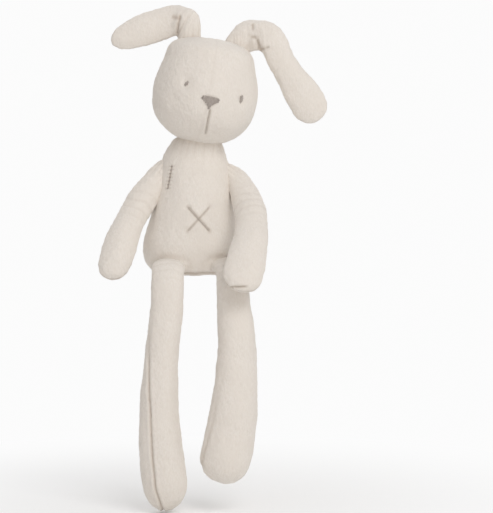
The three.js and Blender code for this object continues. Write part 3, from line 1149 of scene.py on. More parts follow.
@dataclass(frozen=True)
class Strand:
    """Plied thread, laid along a line.

    Attributes:
        radius: Half the thread's width, in mm.
        turn: The length of one turn of its twist, in mm.
        plies: How many yarns are twisted together.
        proud: How far its middle stands above the cloth, in mm.
        dip: How far its ends go down into the cloth, in mm.
    """

    radius: float = 0.45
    turn: float = 2.6
    plies: int = 2
    proud: float = 0.25
    dip: float = 0.9

    SIDES = 10
    RINGS_PER_TURN = 7

    def straight(self, length: float) -> bpy.types.Object:
        """Models a straight thread of unit length that stands along Z.

        Args:
            length: Its real length in mm, which sets the number of twists.

        Returns:
            The thread.
        """
        bpy.ops.object.select_all(action="DESELECT")
        bpy.ops.mesh.primitive_cylinder_add(
            vertices=self.SIDES,
            radius=self.radius * MM,
            depth=1.0,
            end_fill_type="TRIFAN",
            location=(0, 0, 0.5),
        )
        thread = bpy.context.active_object
        bpy.ops.object.transform_apply(location=True, rotation=False, scale=False)
        rings = max(6, int(length / self.turn * self.RINGS_PER_TURN))
        bpy.ops.object.mode_set(mode="EDIT")
        bpy.ops.mesh.select_mode(type="EDGE")
        bpy.ops.mesh.select_all(action="DESELECT")
        bpy.ops.object.mode_set(mode="OBJECT")
        for edge in thread.data.edges:
            a, b = (thread.data.vertices[i].co for i in edge.vertices)
            edge.select = abs(a.z - b.z) > 0.5
        bpy.ops.object.mode_set(mode="EDIT")
        bpy.ops.mesh.subdivide(number_cuts=rings)
        bpy.ops.object.mode_set(mode="OBJECT")
        points = read_points(thread)
        angle = np.arctan2(points[:, 1], points[:, 0])
        twist = points[:, 2] * length / self.turn * 2 * math.pi
        lobes = 1 + 0.22 * np.cos(self.plies * angle)
        taper = np.sqrt(np.clip(1 - (np.abs(points[:, 2] * 2 - 1)) ** 12, 0.04, 1))
        spread = np.hypot(points[:, 0], points[:, 1]) * lobes * taper
        points[:, 0] = spread * np.cos(angle + twist)
        points[:, 1] = spread * np.sin(angle + twist)
        write_points(thread, points)
        return thread

    def lay(self, path: np.ndarray, outward: np.ndarray) -> bpy.types.Object:
        """Lays the thread along a line on a cover.

        Args:
            path: The line's points, in metres.
            outward: The cloth's outward direction at each.

        Returns:
            The thread, with its place in its mesh.
        """
        steps = np.linalg.norm(np.diff(path, axis=0), axis=1)
        along = np.concatenate([[0.0], np.cumsum(steps)])
        thread = self.straight(along[-1] / MM)
        points = read_points(thread)
        share = np.clip(points[:, 2], 0, 1)
        place = share * along[-1]
        ends = np.minimum(share, 1 - share) * along[-1] / (1.6 * MM)
        height = (self.proud - self.dip * np.exp(-(ends**2))) * MM
        middle = np.column_stack([np.interp(place, along, c) for c in path.T])
        normal = np.column_stack([np.interp(place, along, c) for c in outward.T])
        normal /= np.linalg.norm(normal, axis=1, keepdims=True)
        tangent = np.gradient(path, axis=0)
        tangent = np.column_stack([np.interp(place, along, c) for c in tangent.T])
        tangent /= np.linalg.norm(tangent, axis=1, keepdims=True)
        side = np.cross(normal, tangent)
        side /= np.linalg.norm(side, axis=1, keepdims=True)
        out = np.cross(tangent, side)
        laid = middle + normal * height[:, None] + side * points[:, :1] + out * points[:, 1:2]
        write_points(thread, laid)
        return thread


def sewn(
    name: str,
    threads: list[bpy.types.Object],
    material: bpy.types.Material,
    slot: Slot,
    body: str,
    *nodes: str,
) -> bpy.types.Object:
    """Makes one piece of some threads, and puts it in the frame.

    Args:
        name: The piece's name.
        threads: The threads.
        material: Its finish.
        slot: Its slot in the record; not used.
        body: The body that it rides on.
        nodes: The CAD nodes that it stands for.

    Returns:
        The piece.
    """
    piece = joined(threads)
    piece.name = piece.data.name = name
    select_only(piece)
    bpy.ops.object.mode_set(mode="EDIT")
    bpy.ops.mesh.select_all(action="SELECT")
    bpy.ops.mesh.normals_make_consistent(inside=False)
    bpy.ops.object.mode_set(mode="OBJECT")
    bpy.ops.object.shade_smooth()
    Finishes.wear(piece, material)
    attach(piece, body)
    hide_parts(*nodes)
    LOG.info("%s: %d threads on %s", name, len(threads), body)
    return piece


# --- the toy's parts --------------------------------------------------------------


@dataclass
class Cover:
    """A stuffed cover: what it is cut to, how it is filled and how it is finished.

    Attributes:
        finishes: The shared materials.
        stuffing: How it is filled.
        pile: How far the pile stands, in mm.
        tuft: The size of a tuft, in mm.
    """

    finishes: Finishes
    stuffing: Stuffing = field(default_factory=Stuffing)
    pile: float = 0.27
    tuft: float = 1.4

    def cut_and_fill(self, name: str, forms: list[Form]) -> Skin:
        """Cuts forms, sews them into one cover and fills it.

        Args:
            name: The piece's name.
            forms: The forms that make it up.

        Returns:
            The cover's points, ready for seams.
        """
        cover = joined([form.cut(name) for form in forms])
        cover.name = cover.data.name = name
        self.stuffing.fill(cover)
        LOG.info("%s: filled, %d points", name, len(cover.data.vertices))
        return Skin(cover)

    def place(
        self,
        skin: Skin,
        fill: float,
        bodies: tuple[str, ...],
        nodes: list[str],
        bend: tuple[np.ndarray, np.ndarray] | None = None,
    ) -> bpy.types.Object:
        """Dresses a finished cover, and puts it on its body unless it has a bend; a cover with a
        bend is left on no body.

        Args:
            skin: The cover.
            fill: How tight it is stuffed, from 0 to 1; not used.
            bodies: The body that it rides on, or for a cover with a bend the two bodies, which are
                only logged.
            nodes: The CAD nodes that it stands for.
            bend: Where the bend starts and ends, if it has one; only whether it is given is used.

        Returns:
            The piece.
        """
        cover = skin.cover
        Finishes.wear(cover, self.finishes.pile)
        if bend is None:
            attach(cover, bodies[0])
        else:
            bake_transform(cover)
        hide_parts(*nodes)
        LOG.info("%s: on %s for %s", cover.name, "+".join(bodies), ", ".join(nodes))
        return cover


@dataclass
class Torso(Cover):
    """The pear-shaped body, flat where it sits, gathered at the neck.

    Attributes:
        stations: Rows of x, y, z, half width and half depth, in mm.
        seat: The rounding at the seat.
        neck: The rounding at the neck.
        thigh_reach: How far the crease over a thigh is from its middle.
        under_arm: How far the side is drawn in beside the right arm, in mm.
        arm_level: The height of that place, in mm.
        arm_spread: How far it reaches up and down, in mm.
        arm_back: How far it reaches forward, in mm.
    """

    stations: tuple = (
        (-3.0, 2.0, 18.0, 41.8, 33.5),
        (-2.5, 1.0, 28.0, 42.8, 35.0),
        (0.8, 0.5, 54.0, 37.6, 33.0),
        (1.8, 1.0, 80.0, 33.2, 28.0),
        (2.2, 1.8, 97.0, 32.0, 24.5),
        (3.4, 2.0, 111.0, 26.6, 21.0),
        (3.6, 2.0, 117.5, 23.6, 19.5),
    )
    seat: Rounding = Rounding(23.0, 2.5)
    neck: Rounding = Rounding(8.0, 2.0)
    thigh_reach: float = 11.0
    under_arm: float = 1.8
    arm_level: float = 36.0
    arm_spread: float = 22.0
    arm_back: float = 16.0

    def build(self) -> Skin:
        """Builds the cover and works its seams.

        Returns:
            The worked cover.
        """
        origin = np.zeros(3)
        spine = Spine(origin, list(self.stations), FRONT)
        skin = self.cut_and_fill("torso_cover", [Form(spine, self.seat, self.neck)])
        rest = skin.rest
        rest[:, 2] = 0.5 * (rest[:, 2] + np.sqrt(rest[:, 2] ** 2 + (1.1 * MM) ** 2))
        skin.settle()
        _, across, through = spine.locate(skin.rest)
        height = skin.rest[:, 2]
        from_seat = np.clip((height - 6 * MM) / (8 * MM), 0, 1)
        above = from_seat * np.clip((118 * MM - height) / (8 * MM), 0, 1)
        skin.groove(through + 2 * MM, height, Groove(0.9, 1.2, 0.4), above)
        behind = np.where(through < 0, above, 0.0)
        skin.groove(across, height, Groove(0.8, 1.1, 0.35), behind)
        skin.groove(height - 2.2 * MM, across, Groove(0.7, 1.0, 0.3), 1.0)
        neck = pivot("head_turn")
        skin.gathers(neck, UP + np.array([0.2, 0, 0]), 17, 24.0, 0.22, 31)
        for side in Side:
            hip = pivot(f"{side.value}_hip_swing")
            knee = pivot(f"{side.value}_knee_bend")
            self._tuck_over_thigh(skin, hip, knee)
        self._tuck_beside_arm(skin)
        skin.lumps(26, 0.9, 11)
        skin.lumps(12, 0.45, 12)
        skin.settle()
        return skin

    def _tuck_beside_arm(self, skin: Skin) -> None:
        """Draws the right side in where the arm passes it.

        Args:
            skin: The cover that is worked.
        """
        off = (skin.rest[:, 2] - self.arm_level * MM) / (self.arm_spread * MM)
        level = np.exp(-(off**2))
        beside_arm = level * np.clip(-skin.normals[:, 0], 0, 1)
        behind = np.clip(1 + skin.rest[:, 1] / (self.arm_back * MM), 0, 1)
        skin.push -= self.under_arm * MM * beside_arm * behind

    def _tuck_over_thigh(self, skin: Skin, hip: np.ndarray, knee: np.ndarray) -> None:
        """Draws the belly in where it rests on a thigh.

        Args:
            skin: The cover that is worked.
            hip: The hip pivot.
            knee: The knee pivot.
        """
        step = knee - hip
        step[2] = 0
        share = np.clip((skin.rest - hip) @ step / (step @ step), 0, 1.6)
        beside = (skin.rest - hip - share[:, None] * step) * np.array([0.62, 0.4, 1.1])
        off = np.linalg.norm(beside, axis=1)
        ring = np.exp(-(((off - self.thigh_reach * MM) / (2.2 * MM)) ** 2))
        ring = ring * (skin.normals[:, 1] < 0.1)
        skin.push -= 0.5 * MM * ring
        # The crease over the thigh is marked for painted shade.
        skin.crease = np.maximum(skin.crease, 0.15 * ring)

    def dress(self, skin: Skin) -> None:
        """Raises the pile and puts the cover in the frame.

        Args:
            skin: The cover that is worked.
        """
        skin.brush(self.pile, self.tuft, 101)
        nodes = ["torso_front_panel", "torso_back_panel", "seat_panel", "torso_stuffing"]
        self.place(skin, 0.75, ("torso",), nodes)


@dataclass
class Head(Cover):
    """The round head, tipped to the toy's left.

    Attributes:
        roll: How far it is tipped, in degrees.
        from_neck: Its middle, from the nod pivot, in mm.
        chin: The rounding at the chin.
        crown: The rounding at the top.
        girths: Rows of place across, place up, half width and half depth, in mm.
    """

    roll: float = 11.0
    from_neck: tuple = (5.4, -7.0, 46.5)
    chin: Rounding = Rounding(35.0, 2.0)
    crown: Rounding = Rounding(20.0, 2.6)
    girths: tuple = (
        (1.9, -13, 46.4, 41.0),
        (1.8, -2, 47.4, 42.0),
        (1.2, 8, 46.2, 40.8),
        (0.5, 18, 43.6, 38.4),
        (0.0, 27, 40.4, 35.5),
    )

    def __post_init__(self) -> None:
        """Works out the head's own directions."""
        tip = math.radians(self.roll)
        self.up = np.array([math.sin(tip), 0, math.cos(tip)])
        self.across = np.array([math.cos(tip), 0, -math.sin(tip)])
        self.middle = pivot("head_nod") + np.array(self.from_neck) * MM

    def at(self, across: float, up: float) -> np.ndarray:
        """A place on the head's own upright plane, from sizes in mm.

        Args:
            across: The distance across the face, in mm.
            up: The distance up the face, in mm.

        Returns:
            The point, in metres.
        """
        return self.middle + (self.across * across + self.up * up) * MM

    def build(self) -> Skin:
        """Builds the cover and works its seams.

        Returns:
            The worked cover.
        """
        stations = [
            tuple(self.up * up + self.across * aside) + (wide, deep)
            for aside, up, wide, deep in self.girths
        ]
        spine = Spine(self.middle, stations, FRONT)
        skin = self.cut_and_fill("head_cover", [Form(spine, self.chin, self.crown)])
        nose = box_middle("nose_embroidery")
        beside = skin.rest - nose
        off = np.linalg.norm(beside * np.array([0.85, 0.6, 1.0]), axis=1)
        muzzle = np.exp(-((off / (17 * MM)) ** 2))
        skin.push += 2.6 * MM * muzzle
        skin.settle()
        local = skin.rest - self.middle
        turn = local @ self.across - np.clip(-local[:, 1] / (40 * MM), -0.3, 1) * 6.2 * MM
        along = np.arctan2(local @ self.up, local[:, 1]) * 44 * MM
        back = np.clip(local[:, 1] / (20 * MM) + 0.6, 0.12, 1)
        skin.groove(turn, along, Groove(1.0, 1.15, 0.4), back)
        skin.gathers(pivot("head_turn"), -self.up, 15, 20.0, 0.3, 41)
        for node in ("right_eye_stitch", "left_eye_stitch"):
            skin.dimple(box_middle(node) + FRONT * 3 * MM, 7.5, 1.3, 0.0)
        skin.lumps(30, 0.8, 21)
        skin.lumps(13, 0.35, 22)
        skin.settle()
        return skin

    def dress(self, skin: Skin) -> None:
        """Raises the pile and puts the cover in the frame.

        Args:
            skin: The cover that is worked.
        """
        skin.brush(self.pile, self.tuft, 201)
        self.place(skin, 0.8, ("head",), ["head_left_panel", "head_right_panel", "head_stuffing"])


@dataclass
class Ear(Cover):
    """A long ear, pressed flat, that folds over part of the way up.

    Attributes:
        side: Which ear it is.
        root: The stations below the fold.
        tip: The stations beyond the fold.
        end: The rounding of the tip.
        crease_out: The outer end of the fold, across and up from the pivot, in mm.
        crease_in: The inner end of the fold.
        creases: Rows of depth, width and the places the crease runs through.
        tuck: How hard the fold is pressed in.
        bend_reach: How far the bend reaches to each side of the fold, in mm.
        seed: The seed of its lumps.
    """

    side: Side = Side.RIGHT
    root: tuple = ()
    tip: tuple = ()
    end: Rounding = Rounding(13.0, 2.2)
    crease_out: tuple = ()
    crease_in: tuple = ()
    creases: tuple = ()
    tuck: float = 0.5
    bend_reach: float = 10.0
    seed: int = 300

    def build(self) -> Skin:
        """Builds the cover and works its seams and its fold.

        Returns:
            The worked cover.
        """
        base = pivot(f"{self.side.value}_ear_swing")
        roots, tips = Spine(base, list(self.root), FRONT), Spine(base, list(self.tip), FRONT)
        forms = [
            Form(roots, Rounding(8.0), Rounding(10.0), 0.8),
            Form(tips, Rounding(9.0), self.end, 0.8),
        ]
        skin = self.cut_and_fill(f"{self.side.value}_ear_cover", forms)
        outer, inner = self._fold_ends(base)
        along, across, through = tips.locate(skin.rest)
        edge = np.clip(along / (14 * MM), 0, 1)
        skin.groove(through, along, Groove(0.7, 0.9, 0.35), edge)
        self._fold(skin, outer, inner)
        skin.gathers(base, UP, 9, 13.0, 0.16, self.seed)
        skin.lumps(15, 0.45, self.seed + 1)
        skin.settle()
        for depth, width, *places in self.creases:
            path, _ = Surface(skin).drawn([base + np.array([x, 0, z]) * MM for x, z in places])
            skin.line(path, Groove(depth, width, 0.3, pitch=9.0), 2.5)
        skin.settle(1)
        return skin

    def _fold_ends(self, base: np.ndarray) -> tuple[np.ndarray, np.ndarray]:
        """Finds the two ends of the fold.

        Args:
            base: The pivot at the root of the ear.

        Returns:
            The outer and the inner end.
        """
        outer = base + np.array([self.crease_out[0], 0, self.crease_out[1]]) * MM
        inner = base + np.array([self.crease_in[0], 0, self.crease_in[1]]) * MM
        return outer, inner

    def _fold(self, skin: Skin, outer: np.ndarray, inner: np.ndarray) -> None:
        """Presses the fold in, deepest at its inner end.

        Args:
            skin: The cover that is worked.
            outer: The outer end of the fold.
            inner: The inner end of the fold.
        """
        step = inner - outer
        length = np.linalg.norm(step)
        down = step / length
        beyond = np.cross(down, FRONT)
        off = (skin.rest - outer) @ beyond
        share = (skin.rest - outer) @ down / length
        deep = np.clip((share - 0.25) / 0.75, 0, 1.2) * (share < 1.5)
        fall = np.exp(-((off / (2.6 * MM)) ** 2))
        skin.push -= 2.6 * MM * self.tuck * deep * fall
        puff = np.exp(-(((np.abs(off) - 6 * MM) / (3.6 * MM)) ** 2))
        skin.push += 0.9 * MM * self.tuck * deep * puff
        # The sharp fold line is marked for painted shade.
        sharp = np.exp(-((off / (1.0 * MM)) ** 2)) * deep
        skin.crease = np.maximum(skin.crease, np.clip(sharp, 0, 1))
        skin.ruck(outer + step * 0.55, beyond, 5.5, 12.0, 0.45, self.seed + 5)

    def dress(self, skin: Skin) -> None:
        """Raises the pile, and leaves the cover where it is, on no body.

        Args:
            skin: The cover that is worked.
        """
        skin.brush(self.pile * 0.9, self.tuft, self.seed + 7)
        side = self.side.value
        nodes = [f"{side}_ear_root_cover", f"{side}_ear_root_wadding"]
        nodes += [f"{side}_ear_tip_front_panel", f"{side}_ear_tip_back_panel"]
        nodes += [f"{side}_ear_tip_wadding"]
        outer, inner = self._fold_ends(pivot(f"{side}_ear_swing"))
        middle, step = (outer + inner) / 2, (inner - outer) / np.linalg.norm(inner - outer)
        beyond = np.cross(step, FRONT)
        beyond *= np.sign(beyond[0]) * (1 if self.side is Side.LEFT else -1)
        reach = self.bend_reach
        bend = (middle - beyond * reach * MM, middle + beyond * reach * MM)
        self.place(skin, 0.35, (f"{side}_ear_root", f"{side}_ear_tip"), nodes, bend)


@dataclass
class Arm(Cover):
    """A limp arm, sewn to the shoulder, with a rounded hand.

    Attributes:
        side: Which arm it is.
        stations: Rows along the arm, from the pivot, in mm.
        hand: The rounding of the hand.
        elbow: Where the elbow is, from 0 to 1 along the arm.
        wrinkle: How high the wrinkles there stand, in mm.
        seed: The seed of its lumps.
    """

    side: Side = Side.RIGHT
    stations: tuple = ()
    hand: Rounding = Rounding(16.0, 2.3)
    elbow: float = 0.45
    wrinkle: float = 0.4
    seed: int = 400

    def build(self) -> Skin:
        """Builds the cover and works its seams.

        Returns:
            The worked cover.
        """
        shoulder = pivot(f"{self.side.value}_arm_raise")
        self.spine = Spine(shoulder, list(self.stations), FRONT)
        form = Form(self.spine, Rounding(7.0), self.hand)
        skin = self.cut_and_fill(f"{self.side.value}_arm_cover", [form])
        along, across, through = self.spine.locate(skin.rest)
        skin.groove(through, along, Groove(0.9, 1.1, 0.4), np.clip(along / (12 * MM), 0, 1))
        skin.gathers(self.spine.points[0], self.spine.tangents[0], 11, 17.0, 0.25, self.seed)
        elbow = self.spine.at(np.array([self.elbow]), self.spine.points)[0]
        bend = self.spine.at(np.array([self.elbow]), self.spine.tangents)[0]
        skin.ruck(elbow, bend, 8.0, 17.0, self.wrinkle, self.seed + 1)
        skin.lumps(20, 0.7, self.seed + 2)
        skin.lumps(10, 0.35, self.seed + 3)
        skin.settle()
        return skin

    def dress(self, skin: Skin) -> None:
        """Raises the pile and puts the cover in the frame.

        Args:
            skin: The cover that is worked.
        """
        skin.brush(self.pile, self.tuft, self.seed + 7)
        side = self.side.value
        nodes = [f"{side}_arm_front_panel", f"{side}_arm_back_panel", f"{side}_arm_stuffing"]
        self.place(skin, 0.55, (f"{side}_arm",), nodes)


@dataclass
class Leg(Cover):
    """A long leg that lies forward and hangs from the knee to a rounded foot.

    Attributes:
        side: Which leg it is.
        thigh: The stations of the thigh.
        shin: The stations of the shin.
        foot: The rounding of the foot.
        seam_offset: Drop and offset of the front seam, in mm.
        seam_share: Drop in mm and how deep the seam is there, from 0 to 1.
        knee_wrinkle: The middle of the wrinkles, from the knee pivot, in mm.
        knee_bend: The middle of the bend, from the knee pivot, in mm.
        knee_reach: How far the bend reaches to each side, in mm.
        seed: The seed of its lumps.
    """

    side: Side = Side.RIGHT
    thigh: tuple = ()
    shin: tuple = ()
    foot: Rounding = Rounding(22.0, 2.2)
    seam_offset: tuple = ()
    seam_share: tuple = ()
    knee_wrinkle: tuple = (0, 9, -9)
    knee_bend: tuple = (0, 6, -6)
    knee_reach: tuple = (0, 4.6, 4.6)
    seed: int = 500

    def build(self) -> Skin:
        """Builds the cover and works its seams.

        Returns:
            The worked cover.
        """
        hip = pivot(f"{self.side.value}_hip_swing")
        thigh = Spine(hip, list(self.thigh), UP)
        self.spine = Spine(hip, list(self.shin), FRONT)
        forms = [
            Form(thigh, Rounding(7.0), Rounding(6.5)),
            Form(self.spine, Rounding(7.0), self.foot),
        ]
        skin = self.cut_and_fill(f"{self.side.value}_leg_cover", forms)
        along, across, through = self.spine.locate(skin.rest)
        drop = -skin.rest[:, 2] / MM
        depths, offsets = zip(*self.seam_offset)
        offset = np.interp(drop, depths, offsets) * MM
        depths, shares = zip(*self.seam_share)
        share = np.interp(drop, depths, shares)
        front = np.clip(through / (4 * MM) + 1, 0, 1)
        skin.groove(across * self._outward() - offset, along, Groove(1.0, 1.0, 0.45), front * share)
        skin.groove(across, along, Groove(0.9, 1.0, 0.35), (1 - front) * np.clip(drop / 20, 0, 1))
        knee = pivot(f"{self.side.value}_knee_bend") + np.array(self.knee_wrinkle) * MM
        skin.ruck(knee, np.array([0, 0.7, 0.7]), 6.5, 15.0, 0.45, self.seed)
        skin.lumps(24, 0.8, self.seed + 2)
        skin.lumps(11, 0.35, self.seed + 3)
        skin.settle()
        return skin

    def _outward(self) -> float:
        """1 if the spine's across direction is +X, and -1 if it is -X.

        Returns:
            1 or -1.
        """
        return float(np.sign(self.spine.across[len(self.spine.across) // 2][0]))

    def dress(self, skin: Skin) -> None:
        """Raises the pile, and leaves the cover where it is, on no body.

        Args:
            skin: The cover that is worked.
        """
        skin.brush(self.pile, self.tuft, self.seed + 7)
        side = self.side.value
        nodes = [f"{side}_thigh_cover", f"{side}_thigh_stuffing", f"{side}_shin_outer_panel"]
        nodes += [f"{side}_shin_inner_panel", f"{side}_shin_stuffing"]
        knee = pivot(f"{side}_knee_bend") + np.array(self.knee_bend) * MM
        lean = np.array(self.knee_reach) * MM
        self.place(skin, 0.6, (f"{side}_thigh", f"{side}_shin"), nodes, (knee + lean, knee - lean))


@dataclass
class Tail(Cover):
    """A small round tail of longer pile.

    Attributes:
        pile: How far the pile stands, in mm.
        tuft: The size of a tuft, in mm.
    """

    pile: float = 0.8
    tuft: float = 2.0

    def build(self) -> Skin:
        """Builds the cover.

        Returns:
            The worked cover.
        """
        low, high = box_corners("tail_cover")
        middle, half = (low + high) / 2, (high - low) / 2 / MM
        spine = Spine(middle, [(0, -1, 0, half[0], half[2]), (0, 1, 0, half[0], half[2])], UP)
        end = Rounding(half[1] - 1)
        skin = self.cut_and_fill("tail_cover_fluffy", [Form(spine, end, end)])
        skin.lumps(8, 0.7, 61)
        skin.settle()
        return skin

    def dress(self, skin: Skin) -> None:
        """Raises the pile and puts the cover in the frame.

        Args:
            skin: The cover that is worked.
        """
        skin.brush(self.pile, self.tuft, 603)
        self.place(skin, 0.5, ("torso",), ["tail_cover", "tail_stuffing"])
        Finishes.wear(skin.cover, self.finishes.fluff)


# --- embroidery -------------------------------------------------------------------


@dataclass(frozen=True)
class Eye:
    """A few upright threads side by side.

    Attributes:
        side: Which eye it is.
        pitch: The distance between threads, in mm.
        height: The length of the middle thread, in mm.
        lean: How far it leans across for its height.
        across: How far it is moved across the face, in mm.
        up: How far it is moved up the face, in mm.
        count: How many threads it has.
    """

    side: Side
    pitch: float
    height: float
    lean: float
    across: float
    up: float
    count: int = 3


@dataclass
class Face:
    """The nose, the mouth line and the eyes, sewn with floss.

    Attributes:
        finishes: The shared materials.
        head: The head it is sewn on.
        nose_rows: The width of each row of the nose, from the top, in mm.
        row_pitch: The distance between rows, in mm.
        nose_drop: How far the nose is moved down, in mm.
        eyes: The two eyes.
    """

    finishes: Finishes
    head: Head
    nose_rows: tuple = (14.6, 15.8, 15.8, 14.6, 11.6, 8.4, 5.8, 4.2, 3.2, 2.4, 1.8)
    row_pitch: float = 0.98
    nose_drop: float = 4.4
    eyes: tuple = (
        Eye(Side.RIGHT, pitch=0.85, height=5.6, lean=0.24, across=1.2, up=-2.0),
        Eye(Side.LEFT, pitch=0.72, height=8.2, lean=-0.02, across=0.2, up=-1.6),
    )

    def dress(self, skin: Skin) -> None:
        """Sews the face on the head's cover, which is not yet brushed.

        Args:
            skin: The cover that is worked.
        """
        surface = Surface(skin)
        self._nose(skin, surface)
        self._mouth(skin, surface)
        for eye in self.eyes:
            self._eye(skin, surface, eye)

    def _nose(self, skin: Skin, surface: Surface) -> None:
        """Satin rows across an upside-down triangle, over a few long tacks.

        Args:
            skin: The cover that is worked.
            surface: Its outer face, to lay thread on.
        """
        low, high = box_corners("nose_embroidery")
        middle = (low + high) / 2
        down, across = -self.head.up, self.head.across
        middle = middle + down * self.nose_drop * MM
        top = middle - down * (len(self.nose_rows) - 1) / 2 * self.row_pitch * MM
        strand = Strand(radius=0.62, turn=5.0, proud=0.5, dip=0.7)
        threads = []
        for row, width in enumerate(self.nose_rows):
            lean = 0.25 * math.sin(row * 2.4) * MM
            centre = top + down * row * self.row_pitch * MM + across * lean
            half = across * width / 2 * MM
            threads.append(strand.lay(*surface.drawn([centre - half, centre + half])))
        sewn("nose_satin", threads, self.finishes.floss, Slot.FLOSS, "head", "nose_embroidery")
        # The last number is the painted shade in the dimple's middle.
        skin.dimple(surface.front(middle[0], middle[2])[0], 9.0, 0.8, 0.15)

    def _mouth(self, skin: Skin, surface: Surface) -> None:
        """One thread from the nose down to the chin, drawn tight.

        Args:
            skin: The cover that is worked.
            surface: Its outer face, to lay thread on.
        """
        low, high = box_corners("mouth_stitch")
        lean = low[0] + (high[0] - low[0]) * 0.55
        bend = low[2] + (high[2] - low[2]) * 0.62
        corners = [
            np.array([high[0], 0, high[2]]),
            np.array([lean + 0.6 * MM, 0, bend]),
            np.array([low[0] + 1.2 * MM, 0, low[2] - 0.8 * MM]),
        ]
        path, outward = surface.drawn(corners)
        thread = Strand(radius=0.34, turn=2.2, proud=-0.3, dip=0.5).lay(path, outward)
        sewn("mouth_thread", [thread], self.finishes.faded, Slot.FLOSS, "head", "mouth_stitch")
        skin.line(path, Groove(0.8, 0.9, 0.4), 3.0)

    def _eye(self, skin: Skin, surface: Surface, eye: Eye) -> None:
        """Sews one eye, and pulls the cover in behind it.

        Args:
            skin: The cover that is worked.
            surface: Its outer face, to lay thread on.
            eye: Which eye, and its sizes.
        """
        node = f"{eye.side.value}_eye_stitch"
        moved = self.head.across * eye.across + self.head.up * eye.up
        middle = box_middle(node) + moved * MM
        strand = Strand(radius=0.5, turn=4.0, proud=0.35, dip=0.9)
        tall = self.head.up + self.head.across * eye.lean
        threads = []
        for i in range(eye.count):
            off = (i - (eye.count - 1) / 2) * eye.pitch * MM
            half = tall * (eye.height / 2 - 1.0 * abs(i - 1)) * MM
            centre = middle + self.head.across * off + tall * 0.3 * MM * (i - 1)
            threads.append(strand.lay(*surface.drawn([centre - half, centre + half])))
        name = f"{eye.side.value}_eye_threads"
        sewn(name, threads, self.finishes.floss, Slot.FLOSS, "head", node)
        # The last number is the painted shade in the dimple's middle.
        skin.dimple(surface.front(middle[0], middle[2])[0], 4.0, 0.7, 0.25)


@dataclass
class BodyStitches:
    """The cross on the belly and the short stitches at the right shoulder.

    Attributes:
        finishes: The shared materials.
        ticks: How many short stitches there are.
        tick: The length of one, in mm.
        inset: How far the cross stays inside its box, in mm.
    """

    finishes: Finishes
    ticks: int = 7
    tick: float = 4.2
    inset: float = 0.8

    def dress(self, skin: Skin) -> None:
        """Sews the stitches on the torso's cover, which is not yet brushed.

        Args:
            skin: The cover that is worked.
        """
        surface = Surface(skin)
        self._cross(skin, surface)
        self._shoulder(skin, surface)

    def _cross(self, skin: Skin, surface: Surface) -> None:
        """Two long threads, one over the other.

        Args:
            skin: The cover that is worked.
            surface: Its outer face, to lay thread on.
        """
        low, high = box_corners("belly_cross_stitch")
        low, high = low + self.inset * MM, high - self.inset * MM
        over = [np.array([low[0], 0, high[2]]), np.array([high[0], 0, low[2]])]
        under = [np.array([high[0], 0, high[2]]), np.array([low[0], 0, low[2]])]
        threads = []
        for corners, strand, cut in (
            (over, Strand(radius=0.38, turn=2.4, proud=0.2, dip=1.2), Groove(0.7, 1.1, 0.3)),
            (under, Strand(radius=0.3, turn=2.0, proud=-0.42, dip=0.8), Groove(0.5, 1.0, 0.2)),
        ):
            path, outward = surface.drawn(corners)
            threads.append(strand.lay(path, outward))
            skin.line(path, cut, 2.0)
            for end in (path[0], path[-1]):
                # The last number is the painted shade in the dimple's middle.
                skin.dimple(end, 2.6, 0.9, 0.5)
        floss, node = self.finishes.faded, "belly_cross_stitch"
        sewn("belly_cross_threads", threads, floss, Slot.FLOSS, "torso", node)

    def _shoulder(self, skin: Skin, surface: Surface) -> None:
        """Short stitches across the closed opening.

        Args:
            skin: The cover that is worked.
            surface: Its outer face, to lay thread on.
        """
        low, high = box_corners("right_shoulder_stitches")
        middle = (low + high) / 2
        top = np.array([middle[0] + 0.9 * MM, 0, high[2] - 0.8 * MM])
        foot = np.array([middle[0] - 3.1 * MM, 0, low[2] + 0.8 * MM])
        path, _ = surface.drawn([top, foot])
        skin.line(path, Groove(0.9, 0.9, 0.4), 2.0)
        strand = Strand(radius=0.36, turn=2.0, proud=0.2, dip=1.3)
        threads = []
        for i in range(self.ticks):
            at = top + (foot - top) * (i + 0.5) / self.ticks
            half = np.array([self.tick / 2, 0, 0.35 * math.sin(i * 2.1)]) * MM
            line, outward = surface.drawn([at - half, at + half], 0.5)
            threads.append(strand.lay(line, outward))
            for end in (line[0], line[-1]):
                # The last number is the painted shade in the dimple's middle.
                skin.dimple(end, 1.3, 0.5, 0.7)
        floss, node = self.finishes.floss, "right_shoulder_stitches"
        sewn("right_shoulder_threads", threads, floss, Slot.FLOSS, "torso", node)


@dataclass
class HandCrease:
    """The seam that shows as a fine line across the left hand.

    Attributes:
        ends: The places it runs through, across and up, in mm.
    """

    ends: tuple = ((26.8, -7.6), (37.0, -6.8), (49.5, -6.4))

    def dress(self, skin: Skin) -> None:
        """Works the line into the arm's cover, which is not yet brushed.

        Args:
            skin: The cover that is worked.
        """
        corners = [np.array([x, 0, z]) * MM for x, z in self.ends]
        path, _ = Surface(skin).drawn(corners)
        skin.line(path, Groove(1.5, 0.9, 0.5), 4.0)


